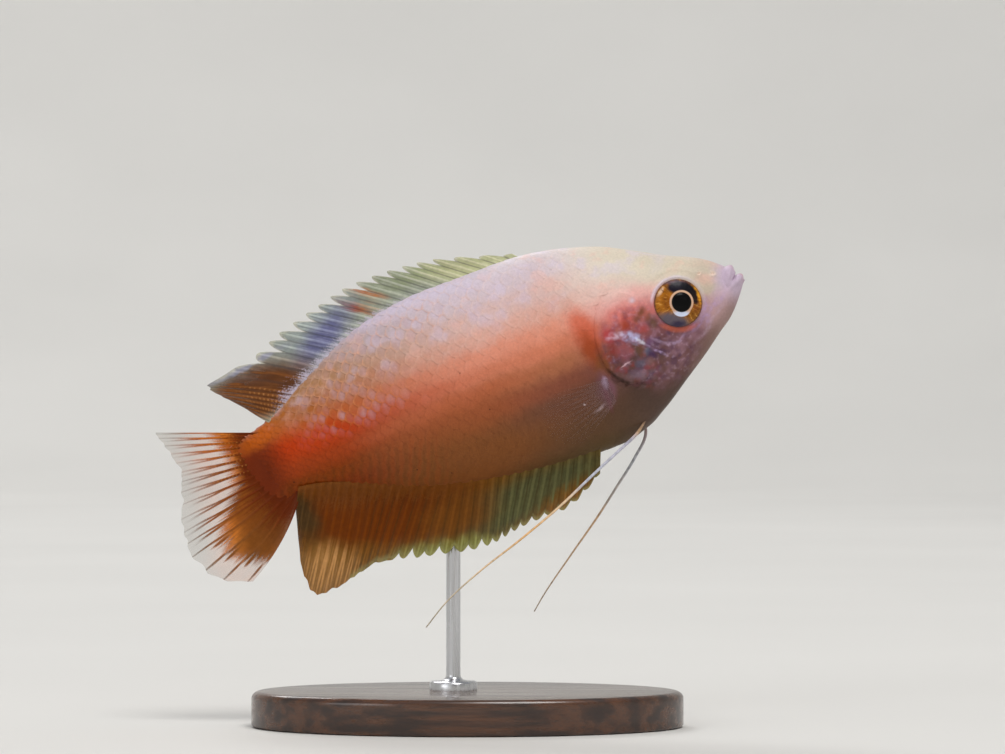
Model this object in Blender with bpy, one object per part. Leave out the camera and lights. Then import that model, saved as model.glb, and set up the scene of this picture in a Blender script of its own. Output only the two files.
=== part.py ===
"""A honey gourami as a life-size display model, 51 mm long, nose up on a small stand.

Lengths in the tables are in millimetres and become metres through MM. The fish has a frame of its
own: u runs back from the tip of the snout, v runs up, and y runs to the fish's left. An empty at the
snout turns that frame to the swimming pose and sets it over the stand.
"""

import math

import bmesh
import bpy
import numpy as np
from mathutils import Matrix, Vector

MM = 0.001
GAP = 0.3  # mm, between pieces that touch

# The pose: the nose points up, the tail swings gently to the fish's left.
NOSE_UP = math.radians(21.5)
SNOUT_X = 23.0
SNOUT_Z = 37.3
BEND_FROM = 22.0
BEND = 0.0034

# Body sections: u, height of the back, height of the belly, half width, height of the widest line.
BODY = (
    (0.12, -0.02, -0.26, 0.12, -0.14),
    (0.55, 0.90, -0.84, 0.66, 0.00),
    (1.05, 1.50, -1.44, 1.00, 0.05),
    (2.00, 2.38, -2.42, 1.42, 0.05),
    (3.50, 3.35, -3.45, 2.00, 0.00),
    (5.00, 4.05, -4.50, 2.45, -0.20),
    (7.50, 5.50, -6.10, 2.95, -0.40),
    (10.0, 6.85, -7.65, 3.25, -0.50),
    (13.0, 7.90, -8.90, 3.40, -0.50),
    (17.0, 8.70, -9.05, 3.45, -0.30),
    (22.0, 8.85, -8.65, 3.30, 0.00),
    (27.0, 8.85, -7.80, 2.95, 0.20),
    (32.0, 7.95, -6.40, 2.35, 0.30),
    (36.5, 6.00, -4.60, 1.70, 0.30),
    (40.0, 3.95, -3.45, 1.15, 0.10),
    (42.2, 3.20, -3.15, 0.80, 0.00),
)
SNOUT_U = BODY[0][0]
HEAD_END = 11.0
TORSO_END = 36.2
STALK_END = BODY[-1][0]
RING_POINTS = 28
KEEL = 1.12  # above 1 the section narrows to a keel along the back and the belly
STALK_LEAN = 0.24  # how far the root of the tail fin leans back for each mm upwards

# Mouth, nostrils and eyes, on the head.
LIP_RADIUS = 0.37
LIP_TAPER = 0.35  # how much thinner a lip is at the corners
UPPER_LIP = ((1.38, -0.15, 0.92), (1.02, 0.62, 0.66), (0.78, 1.14, 0.0))
LOWER_LIP = ((1.40, -0.62, 0.90), (0.80, -0.28, 0.66), (0.34, 0.03, 0.0))
MOUTH_LINE = ((0.30, 0.62), (1.62, -0.42))
MOUTH_CUT = 0.16
MOUTH_WIDTH = 3.0
NOSTRILS = ((2.29, 1.35, 0.17), (3.38, 1.78, 0.14))
NOSTRIL_DEPTH = 0.5
EYE_PLACE = (5.91, 0.12)
EYE_RADIUS = 2.08
EYE_BULGE = 1.2
EYE_SINK = 0.5
PUPIL_PLACE = (5.60, 0.08)
PUPIL_RADIUS = 0.90
PUPIL_RISE = 0.14

# Gill cover: a tilted oval plate, proud of the body at its rear edge.
GILL_CENTRE = (10.98, -1.00)
GILL_LONG = 3.9
GILL_SHORT = 2.55
GILL_LEAN = math.radians(7.0)
GILL_RISE = 0.28
GILL_DEPTH = 0.7
GILL_RINGS = (0.0, 0.4, 0.72, 0.9, 1.0)
GILL_POINTS = 24

# Fin rays: where each key ray leaves the body, then the u and v of its tip.
DORSAL_KEYS = (
    (16.6, 17.2, 9.05),
    (19.8, 22.9, 10.86),
    (23.6, 27.2, 11.50),
    (26.8, 30.9, 11.54),
    (30.2, 34.3, 10.85),
    (33.2, 37.6, 10.05),
    (36.6, 41.7, 8.72),
    (37.9, 44.9, 8.25),
    (39.1, 44.3, 7.05),
    (40.2, 43.0, 5.60),
    (41.2, 41.9, 4.15),
)
DORSAL_SPINES = 17
DORSAL_SOFT = 8
DORSAL_SOFT_FROM = 37.2
ANAL_KEYS = (
    (16.5, 17.05, -10.7),
    (18.2, 19.5, -12.05),
    (22.0, 24.5, -12.42),
    (26.0, 28.4, -12.85),
    (30.0, 33.6, -11.70),
    (33.4, 37.4, -10.85),
    (36.0, 40.4, -11.45),
    (38.0, 42.9, -11.40),
    (39.4, 43.25, -9.40),
    (40.5, 42.6, -6.80),
    (41.3, 41.9, -4.40),
)
ANAL_SPINES = 20
ANAL_SOFT = 13
ANAL_SOFT_FROM = 33.0
CAUDAL_KEYS = (
    (3.05, 50.5, 6.10),
    (2.20, 50.2, 4.60),
    (1.20, 49.7, 2.50),
    (0.10, 50.4, 0.40),
    (-1.00, 51.4, -2.50),
    (-1.90, 51.4, -4.80),
    (-2.60, 50.2, -7.30),
    (-3.05, 47.4, -8.45),
)
CAUDAL_RAYS = 14
PECTORAL_PLACE = (13.95, -4.55)
PECTORAL_KEYS = (
    (1.05, 5.4, 2.2),
    (0.55, 6.9, 1.2),
    (0.00, 7.2, -0.3),
    (-0.55, 6.4, -1.8),
    (-1.05, 4.6, -2.7),
)
PECTORAL_RAYS = 9
PECTORAL_OFF = 0.65  # from the flank to the middle of the fin's root
PECTORAL_OUT = math.radians(38.0)
PECTORAL_DROP = math.radians(8.0)

# Half thicknesses of a fin: at a ray and between rays, from the root to the margin.
RAY_ROOT = 0.42
WEB_ROOT = 0.26
MARGIN = 0.14
RAY_TAPER = 2  # the power of the way out by which a ray thins
WEB_TAPER = 6
FIN_ROWS = (0.0, 0.22, 0.45, 0.68, 0.86, 1.0)
DORSAL_NOTCH = 0.76
ANAL_NOTCH = 0.93
SOFT_NOTCH = 0.98
# The web behind a ray: how far across the gap each column stands, and its share of the notch's depth.
WEB_COLUMNS = ((0.28, 0.35), (0.55, 1.0))

# The thread-like pelvic fins, from root to tip: u, v and distance from the middle plane.
NEAR_FEELER = (
    (12.9, -8.62, 1.62),
    (14.9, -9.45, 1.75),
    (17.6, -10.50, 1.85),
    (21.1, -11.92, 2.05),
    (25.3, -13.33, 2.35),
    (29.3, -14.51, 2.70),
    (33.0, -15.95, 3.05),
    (35.1, -17.16, 3.30),
)
FAR_FEELER = (
    (12.3, -9.10, 1.50),
    (13.8, -10.55, 1.95),
    (16.1, -12.29, 2.55),
    (18.4, -13.99, 3.10),
    (21.9, -16.35, 3.80),
    (25.6, -18.94, 4.40),
    (26.4, -19.60, 4.50),
)
FEELER_ROOT = (11.9, -8.30)
FEELER_RADIUS = 0.27
FEELER_TIP_RADIUS = 0.14
FEELER_STEPS = 22

# The stand: an oval base and one rod beside the anal fin, up to the flank.
BASE_LENGTH = 36.0
BASE_WIDTH = 22.0
BASE_HEIGHT = 3.0
BASE_POINTS = 48
BASE_EDGE = 0.6
ROD_RADIUS = 0.6
ROD_X = -1.2
ROD_Y = 1.55
ROD_FOOT_RADIUS = 2.0
ROD_FOOT_HEIGHT = 0.7
ROD_POINTS = 16
ROD_GAP = 0.48  # up to the slanting flank

PEARL = (0.86, 0.72, 0.66)
ROSE = (0.82, 0.45, 0.33)
EMBER = (0.72, 0.24, 0.10)
AMBER = (0.62, 0.34, 0.12)
IRIS = (0.42, 0.24, 0.09)
SILVER = (0.78, 0.76, 0.80)
WALNUT = (0.16, 0.09, 0.05)
STEEL = (0.62, 0.63, 0.65)


def smooth_at(knots, values, at):
    """A cubic through the knots that doesn't overshoot, at one place."""
    knots = np.asarray(knots, float)
    values = np.asarray(values, float)
    steps = np.diff(knots)
    rises = np.diff(values) / steps
    slopes = np.empty_like(values)
    slopes[0], slopes[-1] = rises[0], rises[-1]
    for i in range(1, len(values) - 1):
        before, after = rises[i - 1], rises[i]
        slopes[i] = (before * steps[i] + after * steps[i - 1]) / (steps[i] + steps[i - 1])
    i = int(np.clip(np.searchsorted(knots, at) - 1, 0, len(steps) - 1))
    t = (at - knots[i]) / steps[i]
    t2, t3 = t * t, t * t * t
    return (
        (2 * t3 - 3 * t2 + 1) * values[i]
        + (t3 - 2 * t2 + t) * steps[i] * slopes[i]
        + (3 * t2 - 2 * t3) * values[i + 1]
        + (t3 - t2) * steps[i] * slopes[i + 1]
    )


def section(u):
    """Back, belly, half width and widest height of the body at u."""
    table = np.array(BODY)
    return tuple(smooth_at(table[:, 0], table[:, k], u) for k in range(1, 5))


def sway(u):
    """How far the middle plane has swung to the left at u."""
    return BEND * max(0.0, u - BEND_FROM) ** 2


def fish(u, v, y):
    """A point of the fish's frame in metres, y measured from the bent middle plane."""
    return Vector((-u, sway(u) + y, v)) * MM


def flank(u, v):
    """Half width of the body at height v, 0 above the back and below the belly."""
    top, bottom, half, middle = section(u)
    t = (v - middle) / (top - middle) if v >= middle else (middle - v) / (middle - bottom)
    return half * max(0.0, 1.0 - t * t) ** (KEEL / 2)


def section_point(u, angle, lean=0.0):
    top, bottom, half, middle = section(u)
    up, out = math.cos(angle), math.sin(angle)
    v = middle + up * (top - middle if up >= 0 else middle - bottom)
    return fish(u + lean * v, v, math.copysign(half * abs(out) ** KEEL, out))


def material(name, colour, roughness, metallic=0.0):
    made = bpy.data.materials.new(name)
    made.use_nodes = True
    shader = made.node_tree.nodes["Principled BSDF"]
    shader.inputs["Base Color"].default_value = (*colour, 1.0)
    shader.inputs["Roughness"].default_value = roughness
    shader.inputs["Metallic"].default_value = metallic
    return made


def mesh_object(name, points, faces, smooth=True):
    """A mesh object whose faces point outwards."""
    mesh = bpy.data.meshes.new(name)
    mesh.from_pydata([tuple(p) for p in points], [], faces)
    shape = bmesh.new()
    shape.from_mesh(mesh)
    bmesh.ops.recalc_face_normals(shape, faces=shape.faces)
    shape.to_mesh(mesh)
    shape.free()
    if smooth:
        mesh.shade_smooth()
    return bpy.data.objects.new(name, mesh)


def body_piece(name, start, end, rings, crowd=1.0, lean=0.0):
    """A length of the body as a closed loft, whose last section leans back."""
    shares = [(k / (rings - 1)) ** crowd for k in range(rings)]
    places = [start + (end - start) * share for share in shares]
    angles = [2 * math.pi * k / RING_POINTS for k in range(RING_POINTS)]
    points = [section_point(u, a, lean * share) for u, share in zip(places, shares) for a in angles]
    n, faces = RING_POINTS, []
    for r in range(len(places) - 1):
        for k in range(n):
            m = (k + 1) % n
            faces.append((r * n + k, r * n + m, (r + 1) * n + m, (r + 1) * n + k))
    front, back = len(points), len(points) + 1
    points += [fish(start, section(start)[3], 0), fish(end, section(end)[3], 0)]
    last = (len(places) - 1) * n
    for k in range(n):
        m = (k + 1) % n
        faces += [(front, m, k), (back, last + k, last + m)]
    return mesh_object(name, points, faces)


def evaluated_mesh(obj):
    graph = bpy.context.evaluated_depsgraph_get()
    return bpy.data.meshes.new_from_object(obj.evaluated_get(graph))


def keep_largest(mesh):
    """Leaves only the largest closed surface of a mesh."""
    shape = bmesh.new()
    shape.from_mesh(mesh)
    left, groups = set(shape.verts), []
    while left:
        group, edge = set(), [left.pop()]
        while edge:
            vert = edge.pop()
            group.add(vert)
            near = {e.other_vert(vert) for e in vert.link_edges} & left
            left -= near
            edge.extend(near)
        groups.append(group)
    largest = max(groups, key=len)
    spare = [vert for group in groups if group is not largest for vert in group]
    bmesh.ops.delete(shape, geom=spare, context="VERTS")
    shape.to_mesh(mesh)
    shape.free()


def combine(target, others, operation):
    """Applies one Boolean of the target with all the others, and removes them."""
    helpers = bpy.data.collections.new(target.name + "_pieces")
    bpy.context.scene.collection.children.link(helpers)
    for other in others:
        helpers.objects.link(other)
    bpy.context.scene.collection.objects.link(target)
    boolean = target.modifiers.new("Boolean", "BOOLEAN")
    boolean.operation = operation
    boolean.operand_type = "COLLECTION"
    boolean.collection = helpers
    boolean.solver = "EXACT"
    mesh = evaluated_mesh(target)
    keep_largest(mesh)
    mesh.shade_smooth()
    target.modifiers.clear()
    target.data = mesh
    bpy.context.scene.collection.objects.unlink(target)
    for other in others:
        bpy.data.objects.remove(other)
    bpy.data.collections.remove(helpers)
    return target


def ball(name, place, size, segments=20, rings=12):
    """An ellipsoid at a place of the fish's frame, in millimetres."""
    u, v, y = place
    shape = bmesh.new()
    bmesh.ops.create_uvsphere(shape, u_segments=segments, v_segments=rings, radius=1.0)
    turn = Matrix.Rotation(math.pi / 2, 4, "X")  # the poles look to the sides
    stretch = Matrix.Diagonal((size[0] * MM, size[1] * MM, size[2] * MM, 1.0))
    move = Matrix.Translation(fish(u, v, y))
    bmesh.ops.transform(shape, matrix=move @ stretch @ turn, verts=shape.verts)
    mesh = bpy.data.meshes.new(name)
    shape.to_mesh(mesh)
    shape.free()
    mesh.shade_smooth()
    return bpy.data.objects.new(name, mesh)


def curve_points(knots, count):
    """Points along a smooth line through the knots, evenly spread in length."""
    knots = np.array(knots, float)
    length = np.concatenate([[0], np.cumsum(np.linalg.norm(np.diff(knots, axis=0), axis=1))])
    return [
        [smooth_at(length, knots[:, k], s) for k in range(knots.shape[1])]
        for s in np.linspace(0, length[-1], count)
    ]


def tube(name, points, radii, sides=2):
    """A capped tube through points given in metres, as a mesh."""
    curve = bpy.data.curves.new(name, "CURVE")
    curve.dimensions = "3D"
    curve.bevel_depth = 1.0
    curve.bevel_resolution = sides
    curve.use_fill_caps = True
    spline = curve.splines.new("POLY")
    spline.points.add(len(points) - 1)
    for knot, point, radius in zip(spline.points, points, radii):
        knot.co = (*point, 1.0)
        knot.radius = radius
    helper = bpy.data.objects.new(name, curve)
    bpy.context.scene.collection.objects.link(helper)
    mesh = evaluated_mesh(helper)
    bpy.data.objects.remove(helper)
    shape = bmesh.new()
    shape.from_mesh(mesh)
    bmesh.ops.remove_doubles(shape, verts=shape.verts, dist=1e-6)
    shape.to_mesh(mesh)
    shape.free()
    mesh.shade_smooth()
    return bpy.data.objects.new(name, mesh)


def lip(name, half_line):
    """One lip, from one corner of the mouth round the front to the other."""
    corner, bend, _ = half_line
    knots = [(u, v, -y) for u, v, y in half_line] + [bend, corner]
    line = curve_points(knots, 13)
    middle = len(line) // 2
    radii = [LIP_RADIUS * MM * (1 - LIP_TAPER * (k / middle - 1) ** 2) for k in range(len(line))]
    return tube(name, [fish(*p) for p in line], radii, sides=1)


def mouth_cutter():
    """A thin slab that opens the line of the mouth between the lips."""
    (u0, v0), (u1, v1) = MOUTH_LINE
    length = math.hypot(u1 - u0, v1 - v0)
    shape = bmesh.new()
    bmesh.ops.create_cube(shape, size=1.0)
    stretch = Matrix.Diagonal((length * MM, MOUTH_WIDTH * MM, MOUTH_CUT * MM, 1.0))
    turn = Matrix.Rotation(math.atan2(v1 - v0, u1 - u0), 4, "Y")
    move = Matrix.Translation(fish((u0 + u1) / 2, (v0 + v1) / 2, 0))
    bmesh.ops.transform(shape, matrix=move @ turn @ stretch, verts=shape.verts)
    mesh = bpy.data.meshes.new("mouth_cutter")
    shape.to_mesh(mesh)
    shape.free()
    return bpy.data.objects.new("mouth_cutter", mesh)


def gill_plate(name, side, grow=0.0):
    """The gill cover, or with grow the room that it takes in the head and torso."""
    points, faces = [], []
    for outside in (True, False):
        for share in GILL_RINGS:
            for k in range(GILL_POINTS if share else 1):
                angle = 2 * math.pi * k / GILL_POINTS
                long = (GILL_LONG + grow) * share * math.cos(angle)
                short = (GILL_SHORT + grow) * share * math.sin(angle)
                u = GILL_CENTRE[0] - long * math.sin(GILL_LEAN) + short * math.cos(GILL_LEAN)
                v = GILL_CENTRE[1] + long * math.cos(GILL_LEAN) + short * math.sin(GILL_LEAN)
                if outside:
                    lift = 1.0 if grow else GILL_RISE * (1 - 0.45 * share**4)
                else:
                    lift = -GILL_DEPTH - grow
                points.append(fish(u, v, side * (flank(u, v) + lift)))
    rings = len(GILL_RINGS) - 1
    per_face = 1 + rings * GILL_POINTS
    for start in (0, per_face):
        for k in range(GILL_POINTS):
            m = (k + 1) % GILL_POINTS
            faces.append((start, start + 1 + k, start + 1 + m))
            for r in range(rings - 1):
                a, b = start + 1 + r * GILL_POINTS, start + 1 + (r + 1) * GILL_POINTS
                faces += [(a + k, b + k, b + m), (a + k, b + m, a + m)]
    rim = 1 + (rings - 1) * GILL_POINTS
    for k in range(GILL_POINTS):
        m = (k + 1) % GILL_POINTS
        a, b = rim + k, rim + m
        faces += [(a, b, b + per_face), (a, b + per_face, a + per_face)]
    return mesh_object(name, points, faces)


def fin(name, rays, to_body, rows=FIN_ROWS, ray_root=RAY_ROOT):
    """A fin whose rays are ridges raised in its membrane. Each ray is (root, tip, notch), and notch
    is how far out the membrane in front of it reaches. Both faces are split alike into triangles."""
    columns = []
    for i, (root, tip, _) in enumerate(rays):
        columns.append((root, tip, ray_root, RAY_TAPER))
        if i + 1 < len(rays):
            after_root, after_tip, notch = rays[i + 1]
            for share, depth in WEB_COLUMNS:
                web_root = root + (after_root - root) * share
                web_tip = tip + (after_tip - tip) * share
                reach = 1 - (1 - notch) * depth
                columns.append((web_root, web_root + (web_tip - web_root) * reach, WEB_ROOT, WEB_TAPER))
    points, faces = [], []
    for side in (1, -1):
        for root, tip, thick, taper in columns:
            for t in rows:
                half = MARGIN + (thick - MARGIN) * (1 - t**taper)
                points.append(to_body(*(root + (tip - root) * t), side * half))
    count, height = len(columns), len(rows)
    other = count * height
    for c in range(count - 1):
        for r in range(height - 1):
            a, b = c * height + r, (c + 1) * height + r
            faces += [(a, b, b + 1), (a, b + 1, a + 1)]
            faces += [(other + a, other + b + 1, other + b), (other + a, other + a + 1, other + b + 1)]
    rim = [c * height for c in range(count)]
    rim += [(count - 1) * height + r for r in range(1, height)]
    rim += [c * height + height - 1 for c in range(count - 2, -1, -1)]
    rim += list(range(height - 2, 0, -1))
    for a, b in zip(rim, rim[1:] + rim[:1]):
        faces += [(a, other + a, other + b), (a, other + b, b)]
    return mesh_object(name, points, faces)


def key_ray(keys, at):
    """Tip of the ray whose root is at the given place along the keys."""
    table = np.array(keys)
    order = np.argsort(table[:, 0])
    table = table[order]
    return np.array([smooth_at(table[:, 0], table[:, k], at) for k in (1, 2)])


def middle_fin(name, keys, edge, soft_from, spines, soft, notch, side):
    """The dorsal or the anal fin: a row of notched spines, then soft rays."""
    first, last = keys[0][0], keys[-1][0]
    roots = [first + (soft_from - first) * k / spines for k in range(spines)]
    roots += [soft_from + (last - soft_from) * k / (soft - 1) for k in range(soft)]
    rays = []
    for k, u in enumerate(roots):
        root = np.array([u, section(u)[edge] + side * GAP])
        rays.append((root, key_ray(keys, u), notch if k < spines else SOFT_NOTCH))
    return fin(name, rays, fish)


def dorsal_fin():
    counts = (DORSAL_SOFT_FROM, DORSAL_SPINES, DORSAL_SOFT)
    return middle_fin("dorsal_fin", DORSAL_KEYS, 0, *counts, DORSAL_NOTCH, 1)


def anal_fin():
    counts = (ANAL_SOFT_FROM, ANAL_SPINES, ANAL_SOFT)
    return middle_fin("anal_fin", ANAL_KEYS, 1, *counts, ANAL_NOTCH, -1)


def caudal_fin():
    first, last = CAUDAL_KEYS[0][0], CAUDAL_KEYS[-1][0]
    rays = []
    for k in range(CAUDAL_RAYS):
        v = first + (last - first) * k / (CAUDAL_RAYS - 1)
        root = np.array([STALK_END + STALK_LEAN * v + GAP, v])
        rays.append((root, key_ray(CAUDAL_KEYS, v), SOFT_NOTCH))
    return fin("caudal_fin", rays, fish, rows=(0.0, 0.16, 0.34, 0.52, 0.7, 0.87, 1.0))


def pectoral_fin(name, side):
    """A fan of rays that stands out from the flank just behind the gill cover."""
    u, v = PECTORAL_PLACE
    root = fish(u, v, side * (flank(u, v) + PECTORAL_OFF))
    back = Vector((-math.cos(PECTORAL_OUT), side * math.sin(PECTORAL_OUT), -math.sin(PECTORAL_DROP)))
    back.normalize()
    across = Vector((0.25, 0.0, 1.0))
    across = (across - back * across.dot(back)).normalized()
    normal = back.cross(across)
    first, last = PECTORAL_KEYS[0][0], PECTORAL_KEYS[-1][0]
    rays = []
    for k in range(PECTORAL_RAYS):
        at = first + (last - first) * k / (PECTORAL_RAYS - 1)
        rays.append((np.array([0.0, at]), key_ray(PECTORAL_KEYS, at), SOFT_NOTCH))

    def place(a, b, n):
        return root + (back * a + across * b + normal * n) * MM

    return fin(name, rays, place, rows=(0.0, 0.3, 0.6, 0.85, 1.0))


def feeler(name, side, line):
    """A pelvic fin drawn out to one long thread."""
    u, v = FEELER_ROOT
    root = (u, v, flank(u, v + FEELER_RADIUS) + GAP + 0.1)
    knots = [(p[0], p[1], side * p[2]) for p in (root, *line)]
    path = curve_points(knots, FEELER_STEPS)
    radii = []
    for k in range(FEELER_STEPS):
        share = k / (FEELER_STEPS - 1)
        radii.append((FEELER_RADIUS + (FEELER_TIP_RADIUS - FEELER_RADIUS) * share**2) * MM)
    return tube(name, [fish(*p) for p in path], radii, sides=2)


def eye(name, side):
    """An eyeball with the lens standing a little out of the pupil."""
    u, v = EYE_PLACE
    depth = flank(u, v) - EYE_SINK
    globe = ball(name, (u, v, side * depth), (EYE_RADIUS, EYE_BULGE, EYE_RADIUS), 24, 12)
    u, v = PUPIL_PLACE
    out = depth + EYE_BULGE * 0.62
    lens_size = (PUPIL_RADIUS, EYE_BULGE * 0.38 + PUPIL_RISE, PUPIL_RADIUS)
    lens = ball(name + "_lens", (u, v, side * out), lens_size, 16, 8)
    return combine(globe, [lens], "UNION")


def head():
    made = body_piece("head", SNOUT_U, HEAD_END, 17, crowd=1.35)
    lips = [lip("upper_lip", UPPER_LIP), lip("lower_lip", LOWER_LIP)]
    made = combine(made, lips, "UNION")
    cutters = [mouth_cutter()]
    for side in (1, -1):
        u, v = EYE_PLACE
        place = (u, v, side * (flank(u, v) - EYE_SINK))
        size = (EYE_RADIUS + GAP, EYE_BULGE + GAP, EYE_RADIUS + GAP)
        cutters.append(ball("socket", place, size, 24, 12))
        for u, v, radius in NOSTRILS:
            y = side * flank(u, v)
            cutters.append(ball("nostril", (u, v, y), (radius, NOSTRIL_DEPTH, radius), 8, 6))
        cutters.append(gill_plate("gill_room", side, GAP))
    return combine(made, cutters, "DIFFERENCE")


def torso():
    made = body_piece("torso", HEAD_END + GAP, TORSO_END, 20)
    rooms = [gill_plate("gill_room", side, GAP) for side in (1, -1)]
    return combine(made, rooms, "DIFFERENCE")


def stand_base():
    """An oval plate with a rounded upper edge."""
    points = []
    softened = BASE_EDGE * 0.3
    levels = (
        (0.0, 0.0),
        (BASE_HEIGHT - BASE_EDGE, 0.0),
        (BASE_HEIGHT - softened, softened),
        (BASE_HEIGHT, BASE_EDGE),
    )
    for z, inset in levels:
        for k in range(BASE_POINTS):
            a = 2 * math.pi * k / BASE_POINTS
            x = (BASE_LENGTH / 2 - inset) * math.cos(a)
            y = (BASE_WIDTH / 2 - inset) * math.sin(a)
            points.append(Vector((x, y, z)) * MM)
    n, faces = BASE_POINTS, []
    for r in range(3):
        for k in range(n):
            m = (k + 1) % n
            faces.append((r * n + k, r * n + m, (r + 1) * n + m, (r + 1) * n + k))
    faces.append(tuple(range(n - 1, -1, -1)))
    faces.append(tuple(range(3 * n, 4 * n)))
    return mesh_object("stand_base", points, faces, smooth=False)


def under_flank(x, y):
    """Height above the floor at which a plumb line at x, y meets the fish from below."""
    for z in np.linspace(10.0, SNOUT_Z, 400):
        dx, dz = SNOUT_X - x, SNOUT_Z - z
        u = dx * math.cos(NOSE_UP) + dz * math.sin(NOSE_UP)
        v = dx * math.sin(NOSE_UP) - dz * math.cos(NOSE_UP)
        if v > section(u)[1] and abs(y - sway(u)) < flank(u, v):
            return z
    raise ValueError("the plumb line misses the fish")


def stand_rod():
    """A thin rod with a round foot. Its top is cut to the flank that it carries."""
    angles = [2 * math.pi * k / ROD_POINTS for k in range(ROD_POINTS)]
    foot = BASE_HEIGHT + GAP
    profile = (
        (ROD_FOOT_RADIUS, foot),
        (ROD_FOOT_RADIUS, foot + ROD_FOOT_HEIGHT * 0.6),
        (ROD_FOOT_RADIUS * 0.55, foot + ROD_FOOT_HEIGHT),
        (ROD_RADIUS, foot + ROD_FOOT_HEIGHT * 1.5),
        (ROD_RADIUS, None),
    )
    points = []
    for radius, z in profile:
        for a in angles:
            x, y = ROD_X + radius * math.cos(a), ROD_Y + radius * math.sin(a)
            top = under_flank(x, y) - ROD_GAP if z is None else z
            points.append(Vector((x, y, top)) * MM)
    n, faces = ROD_POINTS, []
    for r in range(len(profile) - 1):
        for k in range(n):
            m = (k + 1) % n
            faces.append((r * n + k, r * n + m, (r + 1) * n + m, (r + 1) * n + k))
    last = (len(profile) - 1) * n
    low = len(points)
    points.append(Vector((ROD_X, ROD_Y, foot)) * MM)
    points.append(Vector((ROD_X, ROD_Y, under_flank(ROD_X, ROD_Y) - ROD_GAP)) * MM)
    for k in range(n):
        m = (k + 1) % n
        faces += [(low, m, k), (low + 1, last + k, last + m)]
    return mesh_object("stand_rod", points, faces)


def main():
    for obj in list(bpy.data.objects):
        bpy.data.objects.remove(obj)
    collection = bpy.data.collections.new("honey_gourami")
    bpy.context.scene.collection.children.link(collection)
    pose = bpy.data.objects.new("pose", None)
    pose.location = Vector((SNOUT_X, 0.0, SNOUT_Z)) * MM
    pose.rotation_euler = (0.0, -NOSE_UP, 0.0)
    collection.objects.link(pose)
    skin = {
        "pearl": material("pearl_skin", PEARL, 0.35),
        "rose": material("rose_skin", ROSE, 0.35),
        "ember": material("ember_skin", EMBER, 0.38),
        "fin": material("amber_fin", AMBER, 0.4),
        "eye": material("eye", IRIS, 0.12),
        "feeler": material("feeler", SILVER, 0.4),
    }
    fish_parts = [
        (head(), skin["pearl"]),
        (torso(), skin["rose"]),
        (body_piece("tail_stalk", TORSO_END + GAP, STALK_END, 6, lean=STALK_LEAN), skin["ember"]),
        (dorsal_fin(), skin["fin"]),
        (anal_fin(), skin["fin"]),
        (caudal_fin(), skin["ember"]),
    ]
    for word, side in (("left", 1), ("right", -1)):
        fish_parts += [
            (gill_plate("gill_cover_" + word, side), skin["pearl"]),
            (eye("eye_" + word, side), skin["eye"]),
            (pectoral_fin("pectoral_fin_" + word, side), skin["fin"]),
            (feeler("pelvic_feeler_" + word, side, FAR_FEELER if side > 0 else NEAR_FEELER), skin["feeler"]),
        ]
    for obj, look in fish_parts:
        obj.data.materials.clear()
        obj.data.materials.append(look)
        collection.objects.link(obj)
        obj.parent = pose
    for obj, look in (
        (stand_base(), material("walnut", WALNUT, 0.45)),
        (stand_rod(), material("steel", STEEL, 0.3, 1.0)),
    ):
        obj.data.materials.append(look)
        collection.objects.link(obj)


main()
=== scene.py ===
import math

import bpy
import numpy as np
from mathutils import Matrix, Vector


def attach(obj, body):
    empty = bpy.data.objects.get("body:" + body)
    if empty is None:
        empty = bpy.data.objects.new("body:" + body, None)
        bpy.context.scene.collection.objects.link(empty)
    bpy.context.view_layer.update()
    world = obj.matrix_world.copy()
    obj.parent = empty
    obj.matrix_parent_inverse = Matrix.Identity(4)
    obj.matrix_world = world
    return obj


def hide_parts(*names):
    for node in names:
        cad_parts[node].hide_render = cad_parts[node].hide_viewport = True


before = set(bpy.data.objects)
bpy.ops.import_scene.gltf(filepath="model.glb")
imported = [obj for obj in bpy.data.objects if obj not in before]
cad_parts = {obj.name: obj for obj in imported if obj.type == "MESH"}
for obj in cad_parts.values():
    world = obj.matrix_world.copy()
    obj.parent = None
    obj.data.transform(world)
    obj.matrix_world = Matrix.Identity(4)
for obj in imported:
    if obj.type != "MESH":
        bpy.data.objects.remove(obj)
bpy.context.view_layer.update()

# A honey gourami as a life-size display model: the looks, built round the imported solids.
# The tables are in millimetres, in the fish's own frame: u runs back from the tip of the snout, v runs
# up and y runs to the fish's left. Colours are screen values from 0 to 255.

random = np.random.default_rng(7)

MM = 0.001

# The pose: nose up over the stand, the tail swung gently to the fish's left.
TILT = 21.5
NOSE_UP = math.radians(TILT)
SNOUT_X = 23.0
SNOUT_Z = 37.3
BEND_FROM = 22.0
BEND = 0.0034

# Body sections: u, height of the back, height of the belly, half width, height of the widest line.
BODY = np.array((
    (0.12, -0.02, -0.26, 0.12, -0.14),
    (0.55, 0.90, -0.84, 0.66, 0.00),
    (1.05, 1.50, -1.44, 1.00, 0.05),
    (2.00, 2.38, -2.42, 1.42, 0.05),
    (3.50, 3.35, -3.45, 2.00, 0.00),
    (5.00, 4.05, -4.50, 2.45, -0.20),
    (7.50, 5.50, -6.10, 2.95, -0.40),
    (10.0, 6.85, -7.65, 3.25, -0.50),
    (13.0, 7.90, -8.90, 3.40, -0.50),
    (17.0, 8.70, -9.05, 3.45, -0.30),
    (22.0, 8.85, -8.65, 3.30, 0.00),
    (27.0, 8.85, -7.80, 2.95, 0.20),
    (32.0, 7.95, -6.40, 2.35, 0.30),
    (36.5, 6.00, -4.60, 1.70, 0.30),
    (40.0, 3.95, -3.45, 1.15, 0.10),
    (42.2, 3.20, -3.15, 0.80, 0.00),
    (43.4, 3.10, -3.15, 0.36, 0.00),
    (44.6, 2.60, -2.75, 0.02, 0.00),
))
KEEL = 1.12
STALK_LEAN = 0.24
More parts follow.
